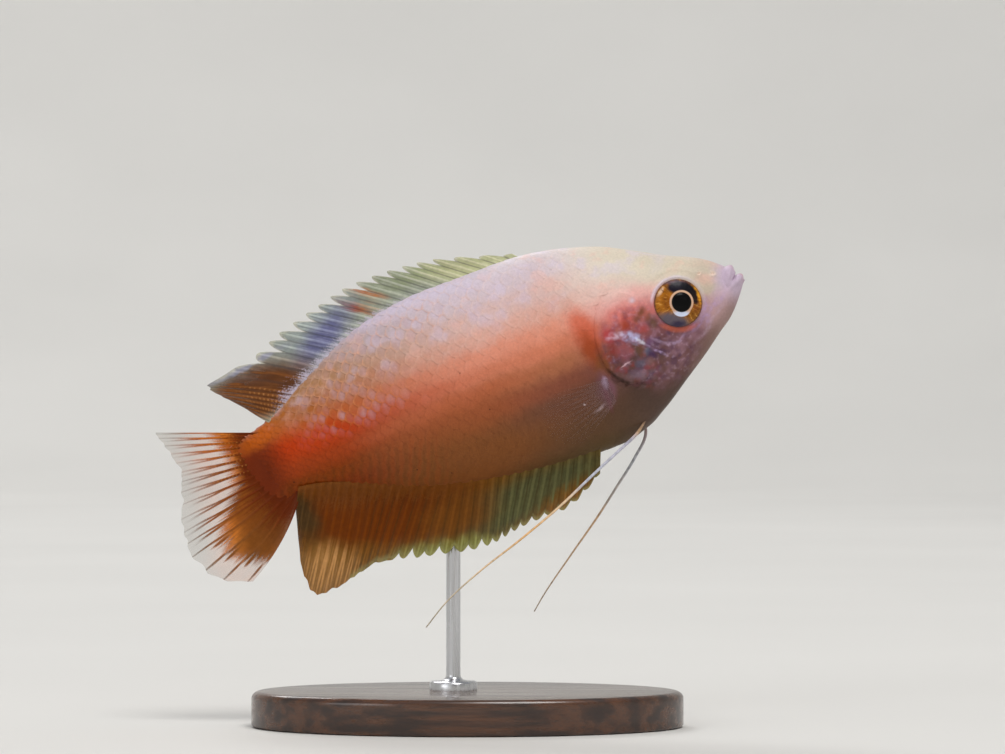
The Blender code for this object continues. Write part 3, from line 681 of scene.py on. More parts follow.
def flesh():
    """Skin and scales: one coat of colour, read from each point's place on the fish."""
    look = Look("flesh", Roughness=0.36, Coat_Weight=0.05, Coat_Roughness=0.2, Specular_IOR_Level=0.08)
    look.tone = flesh_tone
    place = look.vector("place")
    rough_place = look.shift(look.shift(place, 0.9, 0.45), 0.5, 1.6)
    fine_place = look.shift(place, 0.22, 2.0)
    u, v = look.axis(rough_place, "X"), look.axis(rough_place, "Y")
    head, middle, tail = (look.ramp(v, bands) for bands in (HEAD_BANDS, FLANK_BANDS, TAIL_BANDS))
    colour = look.mix(look.fade(u, 10.5, 16.5), head, look.mix(look.fade(u, 21.0, 38.0), middle, tail))
    colour = look.spots(colour, rough_place, PATCHES)
    colour = gill_mottle(look, colour, place, rough_place)
    colour = look.spots(colour, look.shift(place, 0.35, 2.4), MARKS)
    colour = strokes(look, colour, fine_place)
    colour = eye_rim(look, colour, fine_place)
    # The back and forehead are clouded with lilac and rose.
    cloud = look.noise(place, 0.55, 3.0)
    colour = look.over(colour, (202, 190, 214), look.fade(v, 2.5, 5.0), look.fade(cloud, 0.5, 0.66), 0.35)
    colour = look.over(colour, (226, 172, 156), look.fade(v, 1.0, 4.5), look.fade(cloud, 0.46, 0.32), 0.3)
    # Upright bars of muscle show through over the root of the anal fin.
    run = look.math("MULTIPLY_ADD", v, MUSCLE_LEAN, u)
    bar = look.math("SINE", look.product(run, 2 * math.pi / MUSCLE_SPACING))
    low = look.product(look.fade(v, -1.6, -2.8), look.fade(u, 27.0, 31.0))
    crest, dip = look.fade(bar, -0.2, 1.0, 0.0, 0.30), look.fade(bar, 0.2, -1.0, 0.0, 0.22)
    colour = look.over(colour, (138, 66, 30), low, crest, height=MUSCLE_HEIGHT)
    colour = look.over(colour, (92, 56, 26), low, dip, height=MUSCLE_HEIGHT)
    # The back is paler, and lilac: partly its own colour and partly a painted sheen of the light from above,
    # where the skin faces up.
    rise = look.number("rise")
    back = look.fade(rise, look.fade(u, 26.0, 36.0, 0.74, 0.93), 0.98)
    back = look.product(back, look.fade(u, 16.0, 23.0), look.fade(u, 37.0, 27.0, 0.15, 1.0))
    colour = look.over(colour, (198, 186, 206), back, 0.75)
    colour = scale_tints(look, colour, place, u, v, rise)
    colour = specks(look, colour, place, u, v)
    # Every scale differs a little, and a fine grain runs over all.
    vary = look.math("MULTIPLY_ADD", look.number("vary"), 0.05, 0.975)
    grain = look.math("MULTIPLY_ADD", look.noise(place, 5.0, 4.0), 0.30, 0.85)
    look.set("Base Color", look.shaded(colour, look.product(vary, grain)))
    look.set("Roughness", look.math("MULTIPLY_ADD", grain, 0.3, 0.10))
    look.raise_surface(look.noise(place, 9.0, 3.0), 0.00003, 0.6)
    return look.material


def scale_tints(look, colour, place, u, v, rise):
    """Scales: lilac in the middle and golden at the edge on the back and the upper rear flank."""
    edge, centre = look.number("edge"), look.number("centre")
    forward = look.product(look.fade(u, 17.0, 28.0, 0.0, 0.8), look.fade(v, 3.4, 6.0))
    here = look.math("MAXIMUM", look.fade(u, 26.0, 34.0), forward)
    here = look.product(here, look.fade(v, -0.6, 1.6), look.fade(u, 40.5, 36.0))
    here = look.product(here, look.fade(rise, 0.96, 0.80, 0.2, 1.0))
    each = look.fade(look.number("vary"), 0.15, 0.85)
    patchy = look.fade(look.noise(place, 0.9), 0.3, 0.6, 0.4, 1.0)
    colour = look.over(colour, (178, 148, 156), centre, here, each, patchy, 0.62)
    broken = look.fade(look.noise(place, 1.7), 0.38, 0.66, 0.08, 0.62)
    colour = look.over(colour, (202, 118, 60), edge, here, broken)
    high, front = look.fade(v, 0.5, 5.5, 0.0, 0.22), look.fade(u, 41.0, 38.0)
    return look.over(colour, (228, 202, 190), edge, high, front)


def specks(look, colour, place, u, v):
    """A few small black specks on the lower flank."""
    cells = look.node("TexVoronoi", {"Vector": place, "Scale": 0.8})
    picked = look.math("GREATER_THAN", look.axis(cells.outputs["Color"], "X"), 0.72)
    speck = look.product(look.fade(cells.outputs["Distance"], 0.07, 0.04), picked)
    lower = look.product(look.fade(u, 17.0, 24.0), look.fade(v, 2.4, 0.4))
    return look.mix(look.product(speck, lower, 0.75), colour, rgb(40, 18, 14))


def gill_mottle(look, colour, place, rough_place):
    """Soft dark and pale clouds on the gill cover and cheek, and red ones at the rear."""
    area = look.spot_mask(rough_place, (9.3, -2.1), (3.8, 3.2), 25, 0.3)
    for scale, low, high, tint, strength in GILL_CLOUDS:
        cloud = look.fade(look.noise(place, scale, 1.4), low, high, 0.0, strength)
        colour = look.over(colour, tint, cloud, area)
    red = look.fade(look.noise(place, 1.4, 1.4), 0.44, 0.70, 0.0, 0.5)
    rear = look.fade(look.axis(rough_place, "X"), 8.8, 10.8)
    return look.over(colour, (160, 60, 56), red, area, rear)


def eye_rim(look, colour, place):
    """The soft skin round the eye: lilac above and behind, orange below."""
    centred = look.measured(place, EYE, (EYE_RADIUS, EYE_RADIUS), TILT)
    off_ring = look.math("ABSOLUTE", look.math("SUBTRACT", look.distance(centred), 1.10))
    ring, thin = look.fade(off_ring, 0.20, 0.05), look.fade(off_ring, 0.13, 0.02)
    up, back = look.axis(centred, "Y"), look.axis(centred, "X")
    colour = look.over(colour, (190, 94, 66), ring, look.fade(up, -0.72, -1.02, 0.0, 0.62))
    upper, rear = look.fade(up, -0.25, 0.45, 0.0, 0.7), look.fade(back, -0.9, 0.4, 0.3, 1.0)
    return look.over(colour, (210, 198, 212), thin, upper, rear)


# Pieces

# How far the skin lies under the scales, by u, and how finely it is divided along the body and round it.
COAT_DEPTH = ((5.0, 0.0), (7.4, 0.02), (20.0, 0.03), (32.0, 0.07))
LIPS_END, HEAD_END = 2.0, 15.0
LIP_RINGS, HEAD_STEP, BODY_RINGS = 40, 0.085, 150
AROUND = 480
CAP_OUT = 0.12


def skin():
    """One skin from the lips to the root of the tail fin."""
    tip = SNOUT_U + (LIPS_END - SNOUT_U) * np.linspace(0, 1, LIP_RINGS) ** 1.6
    head = np.arange(LIPS_END + 0.07, HEAD_END, HEAD_STEP)
    places = np.concatenate([tip, head, np.linspace(HEAD_END, SKIN_END, BODY_RINGS)])
    angles = np.arange(AROUND) * 2 * math.pi / AROUND
    u, v, y = body_point(*np.meshgrid(places, angles, indexing="ij"))
    base = np.stack([u, v, y], -1)
    normal = np.cross(np.gradient(base, axis=0), np.roll(base, -1, 1) - np.roll(base, 1, 1))
    normal /= np.linalg.norm(normal, axis=-1, keepdims=True) + TINY
    outward = np.einsum("ijk,ijk->", normal[..., 1:], base[..., 1:])
    normal *= np.sign(outward)
    p = base + normal * (relief(u, v) - table_at(COAT_DEPTH, u))[..., None]
    ends = np.stack([p[0].mean(0) - (CAP_OUT, 0, 0), p[-1].mean(0)])
    p = np.vstack([p.reshape(-1, 3), ends])
    rows, flat = len(places), np.zeros(len(p))
    rise = np.append(np.tile(np.cos(angles), rows), (0.0, 0.0))
    nodes = ("head", "torso", "tail_stalk", "gill_cover_left", "gill_cover_right")
    return make_piece(
        "skin", to_world(*p.T), tube_faces(rows, AROUND), FLESH, "skin", nodes,
        place=p, rise=rise, edge=flat, centre=flat, vary=flat + 0.5,
    )


# Scales: how far apart the columns and the rows of scales are along the body.
COLUMN_SPACING = (
    (6.0, 0.62), (12.0, 0.72), (18.0, 0.80), (28.0, 0.72), (36.0, 0.54), (41.0, 0.42), (44.0, 0.30),
)
ROW_SPACING = (
    (6.0, 1.05), (12.0, 1.25), (18.0, 1.38), (28.0, 1.22), (36.0, 0.92), (41.0, 0.70), (44.0, 0.48),
)
SCALE_ROWS, SCALE_COLUMNS = 7, 8
SCALES_FROM, LAST_SCALE = 6.0, 42.9
SCALE_LIFT = ((6.0, 0.003), (20.0, 0.005), (30.0, 0.012), (36.0, 0.028))
SCALE_THICK = 0.010
COAT_EDGE = 0.010  # how much lower the first scales lie, so that the coat rises gently out of the skin
SCALE_ROOT = 0.015  # how far a scale's root lies under the skin
SCALE_HALF, SCALE_LONG = 0.60, 1.22  # a scale's half width in rows and its half length in columns
SCALE_UNEVEN = 0.04
HALF_HEIGHT_SQUARED = 60.0  # a middling value for the scaled body, in square mm
UNWRAPPED_LENGTH, UNWRAPPED_GIRTH = 45.0, 46.0  # mm of body that fill the two sides of the unwrap
UNWRAP_MARGIN, UNWRAP_SHARE, UNWRAP_PATCH = 0.02, 0.46, 0.0015


def inside_coat(u, v):
    """How far a point lies inside the scaled skin, in mm: behind the gill cover and on the chest."""
    rim, _ = gill_place(u, v)
    off_gill = (rim - 1.18) * GILL_SHORT
    chest = np.minimum(u - 10.6, -6.4 - v)
    return np.minimum(off_gill, np.maximum(u - 11.4, chest))


def scale_coat(side, name):
    """All the scales of one side: thin plates that overlap like tiles, each on the body's surface."""
    turn = np.linspace(0, math.pi, 241)
    a, t = np.meshgrid(np.linspace(-1, 1, SCALE_ROWS), np.linspace(-1, 1, SCALE_COLUMNS), indexing="ij")
    rear = np.clip((a + 0.1) / 1.1, 0, 1)
    shape = np.sqrt(np.clip(1 - 0.985 * rear**2.3, 0, 1))
    points, fields, patches = [], {"rise": [], "edge": [], "centre": [], "vary": []}, []
    u0, column = SCALES_FROM, 0
    while u0 < LAST_SCALE:
        pitch, row = table_at(COLUMN_SPACING, u0), table_at(ROW_SPACING, u0)
        _, v_ring, y_ring = body_point(np.full(len(turn), u0), turn)
        arc = np.concatenate([[0], np.cumsum(np.hypot(np.diff(v_ring), np.diff(y_ring)))])
        middle = np.interp(0.5 * math.pi, turn, arc)
        offset = 0.5 * row if column % 2 else 0.0
        first, last = math.ceil((-middle - offset) / row), math.floor((arc[-1] - middle - offset) / row)
        for s0 in np.arange(first, last + 1) * row + offset:
            jitter = random.normal(0, SCALE_UNEVEN, 3)
            angle0 = np.interp(middle + s0, arc, turn)
            _, v0, _ = body_point(np.array([u0]), np.array([angle0]))
            inside = inside_coat(u0, v0[0])
            if inside <= 0:
                continue
            half = SCALE_HALF * row * (1 + jitter[0])
            long = pitch * SCALE_LONG * (1 + jitter[1])
            u = u0 + a * long
            angle = np.interp(np.clip(middle + s0 + t * shape * half, 0, arc[-1]), arc, turn)
            bu, bv, by = body_point(u, angle)
            _, _, half_here, mid_here = section(u)
            free = np.minimum(half * shape * (1 - np.abs(t)), (1 - a) * long)
            lift = table_at(SCALE_LIFT, u0) - COAT_EDGE * (1 - step(inside, 0.0, 1.6))
            root = table_at(COAT_DEPTH, u0) + SCALE_ROOT
            height = (root + lift) * step(a, -1.0, 0.9) - root - 0.5 * lift * t**2
            # The surface's own slope turns each plate to lie on the body.
            n = np.stack([0 * bu, (bv - mid_here) / HALF_HEIGHT_SQUARED, by / (half_here**2 + 1e-6)], -1)
            n /= np.linalg.norm(n, axis=-1, keepdims=True) + TINY
            top = np.stack([bu, bv, by], -1) + n * height[..., None]
            thick = SCALE_THICK * (0.35 + 0.65 * np.clip(free / 0.2, 0, 1))
            tall = hump(a - 0.3, 0.5) * (1 - np.abs(t * shape) ** 3)
            place_on_map = (UNWRAP_MARGIN + UNWRAP_SHARE * u0 / UNWRAPPED_LENGTH + (0.5 if side > 0 else 0.0),
                            0.5 + s0 / UNWRAPPED_GIRTH)
            for sheet in (top, top - n * thick[..., None]):
                points.append(sheet.reshape(-1, 3) * (1, 1, side))
                fields["rise"].append(np.cos(angle).ravel())
                fields["edge"].append((1 - np.clip(free / 0.22, 0, 1)).ravel())
                fields["centre"].append((tall * np.clip(free / 0.16, 0, 1)).ravel())
                fields["vary"].append(np.full(a.size, 0.5 + 6 * jitter[2]))
                patches.append(place_on_map + UNWRAP_PATCH * np.stack([a, t], -1).reshape(-1, 2))
        u0 += pitch
        column += 1
    one = sheet_faces(SCALE_ROWS, SCALE_COLUMNS)
    faces = (one + (np.arange(len(points) // 2) * 2 * a.size)[:, None, None]).reshape(-1, 4)
    if side < 0:
        faces = faces[:, ::-1]
    p = np.vstack(points)
    fields = {key: np.concatenate(values) for key, values in fields.items()}
    return make_piece(
        name, to_world(*p.T), [faces], FLESH, "skin", (), uv=np.vstack(patches), place=p, **fields
    )


def key_rays(keys, count_spines, count_soft, soft_from, root_of):
    """Rays of a fin: root, tip and bow of each, spines first and then soft rays."""
    table = np.array(sorted(keys))
    at = np.linspace(keys[0][0], soft_from, count_spines + 1)[:-1] if count_spines else np.array([])
    at = np.concatenate([at, np.linspace(soft_from, keys[-1][0], count_soft)])
    tips = np.stack([smooth_at(table[:, 0], table[:, k], at) for k in (1, 2)], -1)
    bows = np.interp(at, table[:, 0], table[:, 3])
    return root_of(at), tips, bows, np.arange(len(at)) < count_spines


# Where the columns of a fin's mesh stand in the gap behind a ray, the share of it before the notch, how
# round its lobes are, and how far out the thick root reaches.
ACROSS_GAP = np.array((0.0, 0.09, 0.19, 0.29, 0.38, 0.45, 0.50, 0.55, 0.63, 0.74, 0.87))
NOTCH_AT = 0.50
LOBE_ROUND = 0.93
FILLET_REACH = 1.1


def lobes(f, advance, depth):
    """How far a margin of lobes stands in from the line between two tips, as a share of the ray.

    Each lobe has a rounded tip behind its spine, then drops to the notch, where the next lobe's upper edge
    starts. advance is how much further out the next tip is.
    """
    drop = (depth - advance * NOTCH_AT) / (1 - math.sqrt(1 - LOBE_ROUND**2))
    rear = advance * f + drop * (1 - np.sqrt(1 - (LOBE_ROUND * np.clip(f / NOTCH_AT, 0, 1)) ** 2))
    left = np.clip((1 - f) / (1 - NOTCH_AT), 0, 1)
    front = (depth + advance * (1 - NOTCH_AT)) * left**1.7 - advance * (1 - f)
    return np.where(f < NOTCH_AT, rear, front)


def fin_piece(name, rays, material, node, place, notch, web=0.05, tall=(0.13, 0.12), rows=36,
              ripple=0.12, fillet=0.0, slim=1.0):
    """A fin as one closed sheet: a thin membrane with a raised, tapering ray at each root.

    notch is the advance and the depth of its lobes, tall the half thickness at a spine and at a soft ray,
    fillet how much thicker the sheet is at its root, and slim how broad its rays are.
    """
    roots, tips, bows, spiny = rays
    count = len(roots)
    r = np.append((np.arange(count - 1)[:, None] + ACROSS_GAP).ravel(), count - 1.0)
    i = np.minimum(r.astype(int), count - 2)
    f = r - i

    def blend(values):
        share = f[:, None] if values.ndim == 2 else f
        return values[i] + (values[i + 1] - values[i]) * share

    root, tip, bow = blend(roots), blend(tips), blend(bows)
    spiny_here = spiny[np.minimum(i + 1, count - 1)]
    wobble = 1 + 0.008 * np.sin(r * 2.3) + 0.006 * np.sin(r * 3.9 + 1.0)
    uneven = 1 + 0.18 * np.sin(i * 2.6)
    soft_edge = 1 - 0.010 * np.sin(math.pi * f) ** 2
    reach = np.where(spiny_here, 1 - uneven * lobes(f, *notch), soft_edge) * wobble
    t = np.linspace(0, 1, rows) ** 0.9
    out = t[None, :] * reach[:, None]
    run = tip - root
    length = np.linalg.norm(run, axis=1)
    upward = np.stack([-run[:, 1], run[:, 0]], -1) / length[:, None]
    flat = root[:, None] + run[:, None] * out[..., None]
    flat += upward[:, None] * (bow[:, None] * 4 * out * (1 - out))[..., None]
    # Each ray is a ridge. Soft rays split in two farther out, and the first and last rays are lower.
    gap = np.linalg.norm(np.gradient(flat, r, axis=0), axis=-1)
    near = np.where(f > 0.5, f - 1, f)[:, None] * gap
    split = np.where(spiny_here, 0, 1)[:, None] * 0.2 * gap * step(out, 0.45, 0.95)
    width = slim * (0.09 + 0.07 * (1 - out))
    ridge = np.maximum(hump(near - split, width), hump(near + split, width))
    ridge *= 1 - 0.35 * step(out, 0.85, 1.0)
    inner = 1 - 0.85 * np.maximum(hump(r, 0.25), hump(r - count + 1, 0.25))[:, None]
    half = web + (np.where(spiny_here[:, None], *tall) - web) * ridge * inner * (1 - 0.55 * out)
    half *= 1 - 0.6 * step(t, 0.9, 1.0)[None, :]
    half += fillet * hump(out * length[:, None], FILLET_REACH)
    wave = ripple * np.sin(r * 1.7 + 0.6)[:, None] * out**1.5
    points = np.concatenate([
        place(flat[..., 0], flat[..., 1], wave + side * half).reshape(-1, 3) for side in (1, -1)
    ])

    def both(values):
        return np.concatenate([values.ravel(), values.ravel()])

    where = np.stack([both(flat[..., 0]), both(flat[..., 1]), both(0 * out)], -1)
    return make_piece(
        name, points, [sheet_faces(len(r), rows)], material, "fin", (node,),
        place=where, ridge=both(ridge), out=both(out), ray=both(r[:, None] + 0 * out),
        margin=both(t + 0 * out),
    )


def sunk_root(keys, edge, sink):
    """Roots of a middle fin, sunk into the back or the belly."""
    def root_of(at):
        height = section(at)[edge]
        return np.stack([at - 0.6 * sink, height - (1 if edge == 0 else -1) * sink], -1)
    return root_of


def fin_look(name, webs, rays, web_clear, ray_clear, line=None, rim=None, beads=None, base=None,
             ragged=0.5, solid=None):
    """A fin's material.

    webs and rays are the colours of the membrane and of the rays: one all over, then patches. web_clear and
    ray_clear say how solid they are: where the change along the fin starts and ends, and the value at each.
    line darkens the fold behind each spine: tint, strength and the last ray. rim colours the free edge, up
    to its last ray.
    beads are the pale joints of the soft rays: how many along a ray, tint, strength and the first ray.
    base is the body's colour carried onto the root: tint, how far out, strength, and the ray it starts at.
    ragged is how unevenly the fin turns clear, and solid where it does so farther out: from which ray, in
    full from which ray, and by how much.
    """
    look = Look(name, Roughness=0.4, Coat_Weight=0.03, Coat_Roughness=0.25, Specular_IOR_Level=0.06)
    place = look.vector("place")
    rough_place = look.shift(place, 0.9, 0.7)
    ridge, out, ray = look.number("ridge"), look.number("out"), look.number("ray")
    web = look.spots(rgb(*webs[0]), rough_place, webs[1:])
    bone = look.spots(rgb(*rays[0]), rough_place, rays[1:])
    # Streaks run out along the fin between the rays.
    lines = look.node("CombineXYZ", (look.product(ray, 3.1), look.product(out, 1.6))).outputs[0]
    streak = look.noise(lines, 2.2, 3.0)
    web = look.mix(look.fade(streak, 0.44, 0.70, 0.0, 0.7), web, bone)
    colour = look.mix(look.fade(ridge, 0.15, 0.75), web, bone)
    clearing = look.math("ADD", out, look.math("MULTIPLY_ADD", streak, ragged, -0.5 * ragged))
    if solid:
        start, full, farther = solid
        clearing = look.math("SUBTRACT", clearing, look.fade(ray, start, full, 0.0, farther))
    web_solid, ray_solid = look.fade(clearing, *web_clear), look.fade(clearing, *ray_clear)
    extra = look.math("SUBTRACT", ray_solid, web_solid)
    look.set("Alpha", look.math("MULTIPLY_ADD", look.fade(ridge, 0.15, 0.7), extra, web_solid))
    if line:
        tint, strength, last = line
        fold = look.math("ABSOLUTE", look.math("SUBTRACT", look.math("FRACT", ray), NOTCH_AT))
        dark = look.product(look.fade(fold, 0.12, 0.03), look.fade(ray, last, last - 1.0, 0.0, strength))
        colour = look.over(colour, tint, dark, look.fade(streak, 0.30, 0.50, 0.4, 1.0))
    if beads:
        number, tint, strength, first = beads
        joint = look.math("SINE", look.product(out, number * 2 * math.pi))
        dots = look.product(look.fade(joint, 0.1, 0.9), look.fade(ridge, 0.45, 0.85))
        dots = look.product(dots, look.fade(look.noise(place, 2.2), 0.34, 0.58, 0.1, 1.0))
        dots = look.product(dots, look.fade(out, 0.85, 0.45, 0.0, strength))
        colour = look.over(colour, tint, dots, look.fade(ray, first - 0.5, first))
    if base:
        tint, far, strength, first = base
        speckled = look.math("ADD", out, look.math("MULTIPLY_ADD", look.noise(place, 7.0, 2.0), 0.3, -0.15))
        speckled = look.math("ADD", speckled, look.math("MULTIPLY_ADD", streak, -0.5, 0.25))
        near, behind = look.fade(speckled, far, far * 0.4), look.fade(ray, first, first + 6.0)
        colour = look.over(colour, tint, near, behind, strength)
    if rim:
        tint, strength, last = rim
        edge = look.fade(look.number("margin"), 0.90, 0.985, 0.0, strength)
        broken = look.fade(look.noise(place, 2.6), 0.30, 0.55, 0.3, 1.0)
        colour = look.over(colour, tint, edge, look.fade(ray, last, last - 0.5), broken)
    grain = look.math("MULTIPLY_ADD", look.noise(place, 3.0, 4.0), 0.5, 0.75)
    look.set("Base Color", look.shaded(colour, grain))
    look.raise_surface(look.noise(lines, 9.0, 2.0), 0.00003, 0.5)
    return look.material


DORSAL_WEBS = (
    (152, 158, 142),
    ((194, 196, 150), (20.5, 9.9), (4.8, 1.8), 10, 0.4, 0.95),
    ((148, 160, 112), (26.5, 10.6), (3.0, 0.9), 5, 0.6, 0.6),
    ((192, 104, 36), (29.9, 10.75), (1.7, 0.28), 38, 0.7, 1.0),
    ((182, 92, 24), (31.5, 10.05), (2.0, 0.32), 38, 0.7, 1.0),
    ((150, 160, 160), (35.0, 9.6), (4.0, 1.2), -20, 0.5, 0.9),
    ((96, 96, 148), (34.4, 8.3), (3.2, 1.1), -28, 0.7, 0.85),
    ((96, 49, 8), (41.1, 6.1), (4.8, 2.35), 4, 0.4, 0.97),
    ((150, 150, 170), (41.4, 8.5), (3.4, 0.30), -5, 0.5, 0.9),
)
DORSAL_RAYS = (
    (184, 188, 170),
    ((216, 214, 176), (20.5, 9.9), (4.8, 1.8), 10, 0.4, 0.95),
    ((186, 112, 52), (30.8, 10.3), (2.0, 0.6), 38, 0.7, 0.6),
    ((196, 206, 202), (35.0, 9.6), (4.0, 1.2), -20, 0.5, 0.9),
    ((136, 138, 182), (34.4, 8.3), (3.2, 1.1), -28, 0.7, 0.85),
    ((124, 68, 20), (41.1, 6.1), (4.8, 2.35), 4, 0.4, 0.97),
    ((178, 178, 198), (41.4, 8.5), (3.4, 0.30), -5, 0.5, 0.9),
)
ANAL_WEBS = (
    (118, 78, 22),
    ((80, 80, 50), (22.4, -10.4), (7.6, 2.1), -4, 0.5, 0.95),
    ((80, 82, 50), (27.6, -10.7), (3.3, 1.2), 4, 0.6, 0.85),
    ((138, 138, 66), (31.0, -11.9), (4.0, 0.9), 14, 0.5, 0.85),
    ((124, 80, 20), (20.5, -11.6), (3.8, 0.9), -12, 0.6, 0.8),
    ((104, 46, 0), (35.8, -7.0), (8.4, 2.7), 18, 0.4, 0.97),
    ((112, 66, 16), (29.6, -9.6), (3.0, 1.7), 0, 0.7, 0.8),
    ((62, 48, 22), (41.5, -4.9), (1.3, 2.2), 0, 0.6, 0.85),
    ((150, 106, 52), (41.6, -10.2), (2.2, 2.6), 0, 0.5, 0.9),
)
ANAL_RAYS = (
    (136, 90, 34),
    ((100, 102, 64), (22.4, -10.4), (7.6, 2.1), -4, 0.5, 0.95),
    ((164, 100, 36), (20.5, -11.9), (3.8, 0.6), -12, 0.6, 0.6),
    ((166, 172, 100), (31.0, -11.9), (4.2, 0.9), 14, 0.5, 0.9),
    ((116, 54, 0), (35.8, -7.0), (8.4, 2.7), 18, 0.4, 0.97),
    ((128, 76, 22), (29.6, -9.6), (3.0, 1.7), 0, 0.7, 0.8),
    ((80, 62, 32), (41.5, -4.9), (1.3, 2.2), 0, 0.6, 0.85),
    ((204, 150, 92), (41.2, -10.2), (2.4, 2.2), 0, 0.5, 0.9),
)
CAUDAL_WEBS = (
    (150, 138, 120),
    ((214, 122, 44), (45.4, 0.0), (3.3, 9.0), 10, 0.4, 1.0),
    ((206, 122, 48), (47.4, -6.9), (2.6, 3.0), -50, 0.4, 1.0),
    ((100, 38, 1), (43.2, -0.5), (2.1, 5.6), 10, 0.3, 1.0),
    ((108, 60, 16), (45.2, -5.2), (2.6, 1.7), -50, 0.5, 0.85),
    ((128, 68, 18), (45.6, -2.6), (1.7, 1.9), -20, 0.5, 0.85),
    ((176, 84, 18), (43.6, 2.7), (2.3, 0.7), -4, 0.5, 0.9),
)
CAUDAL_RAYS = (
    (138, 118, 100),
    ((150, 84, 34), (45.6, 0.0), (4.6, 8.0), 8, 0.3, 1.0),
    ((186, 96, 18), (46.6, 3.6), (3.8, 1.7), -4, 0.5, 0.95),
    ((112, 42, 1), (43.4, -1.0), (3.2, 4.8), 8, 0.5, 0.95),
    ((128, 78, 32), (46.6, -5.8), (2.8, 2.0), -50, 0.6, 0.7),
)
PECTORAL_WEBS = ((104, 78, 74),)
PECTORAL_RAYS = ((128, 100, 98),)
PECTORAL_CURL = 0.02  # how much the fan bends in towards the flank


def pectoral_place(side):
    """Where points of a pectoral fin lie: a fan that stands out from the flank."""
    u, v = PECTORAL_PLACE
    root = np.array([u - 0.25, v, side * (flank(u, v) + 0.12)])
    back = np.array([math.cos(PECTORAL_OUT), -math.sin(PECTORAL_DROP), side * math.sin(PECTORAL_OUT)])
    back /= np.linalg.norm(back)
    across = np.array([-0.25, 1.0, 0.0])
    across -= back * (across @ back)
    across /= np.linalg.norm(across)
    normal = np.cross(back, across)

    def place(a, b, n):
        a, b, n = np.broadcast_arrays(a, b, n)
        off = n - side * PECTORAL_CURL * a**2
        p = root + a[..., None] * back + b[..., None] * across + off[..., None] * normal
        return to_world(*np.moveaxis(p, -1, 0))

    return place


THREAD_STEPS, THREAD_SIDES = 90, 14


def feeler(name, side, line, stops, node):
    """A pelvic fin drawn out to one long tapering thread."""
    knots = [(p[0], p[1], side * p[2]) for p in (FEELER_ROOT, *line)]
    path = curve_points(knots, THREAD_STEPS)
    share = np.linspace(0, 1, THREAD_STEPS)
    radius = (0.05 + 0.085 * (1 - share)) * (0.6 + 0.4 * step(share, 0.0, 0.06))
    tangent = np.gradient(path, axis=0)
    tangent /= np.linalg.norm(tangent, axis=1, keepdims=True)
    first = np.cross(tangent, (0.0, 0.0, 1.0))
    first /= np.linalg.norm(first, axis=1, keepdims=True)
    second = np.cross(tangent, first)
    turn = np.arange(THREAD_SIDES) * 2 * math.pi / THREAD_SIDES
    ring = np.cos(turn)[None, :, None] * first[:, None] + np.sin(turn)[None, :, None] * second[:, None]
    p = path[:, None] + ring * radius[:, None, None]
    p = np.vstack([p.reshape(-1, 3), path[0], path[-1] + tangent[-1] * 0.1])
    out = np.concatenate([np.repeat(share, THREAD_SIDES), [0.0, 1.0]])
    faces = tube_faces(THREAD_STEPS, THREAD_SIDES)
    look = thread_look(name, stops)
    return make_piece(name, to_world(*p.T), faces, look, "feeler", (node,), place=p, out=out)


def thread_look(name, stops):
    """A thread's material: colours along it, dulled a little here and there."""
    look = Look(name, Roughness=0.38, Specular_IOR_Level=0.35)
    grain = look.noise(look.vector("place"), 2.6, 3.0)
    colour = look.ramp(look.number("out"), stops)
    look.set("Base Color", look.shaded(colour, look.fade(grain, 0.35, 0.7, 1.1, 0.75)))
    look.raise_surface(grain, 0.00004, 0.5)
    return look.material


NEAR_THREAD = (
    (0.0, (110, 84, 64)),
    (0.045, (186, 150, 116)),
    (0.09, (190, 186, 202)),
    (0.28, (206, 208, 222)),
    (0.38, (236, 206, 170)),
    (0.55, (240, 190, 130)),
    (0.72, (232, 200, 160)),
    (0.85, (214, 198, 172)),
    (1.0, (186, 172, 150)),
)
FAR_THREAD = (
    (0.0, (140, 112, 108)),
    (0.2, (176, 178, 186)),
    (0.38, (190, 178, 172)),
    (0.5, (214, 176, 140)),
    (0.75, (206, 174, 144)),
    (1.0, (184, 166, 146)),
)

# The eye, painted in its own plane: mm to the photo's right and up from its centre.
IRIS_WARM = (
    ((176, 108, 26), (-1.15, 0.1), (0.75, 1.2), 0, 0.5, 0.9),
    ((130, 70, 16), (-1.0, 0.1), (0.3, 0.7), 0, 0.6, 0.7),
    # The pale cream streak at the upper left of the iris is a painted highlight.
    ((232, 198, 168), (-1.48, 0.95), (0.40, 0.13), 55, 0.6, 0.8),
    ((142, 88, 26), (1.3, -0.95), (0.45, 0.6), -20, 0.5, 0.9),
    ((232, 158, 36), (1.62, 0.75), (0.24, 0.95), 18, 0.4, 0.95),
    ((134, 70, 30), (1.45, -0.05), (0.3, 0.6), 0, 0.5, 0.8),
)
IRIS_DARK = (
    ((98, 92, 104), (-0.4, -1.5), (1.35, 0.62), -14, 0.45, 0.95),
    ((48, 40, 70), (0.0, -1.72), (0.6, 0.25), 6, 0.6, 0.8),
    ((96, 84, 106), (-0.2, 1.72), (1.0, 0.2), 0, 0.5, 0.8),
    ((24, 18, 32), (0.02, 1.32), (1.0, 0.50), 4, 0.3, 1.0),
    ((22, 20, 26), (0.92, 1.06), (0.76, 0.44), -45, 0.3, 1.0),
    ((30, 22, 24), (1.34, 0.50), (0.66, 0.24), -72, 0.35, 0.97),
)
PUPIL = (0.25, 0.07)
PUPIL_RADIUS = 0.83
EYE_TURN, EYE_LOOKS_UP = math.radians(11.0), 0.06
EYE_RISE, EYE_DEPTH, LENS_RISE = 0.62, 1.3, 0.10
EYE_FLAT = 0.975  # the eyeball's height to its length
EYE_FRONT_RINGS, EYE_BACK_RINGS, EYE_SIDES = 60, 12, 96


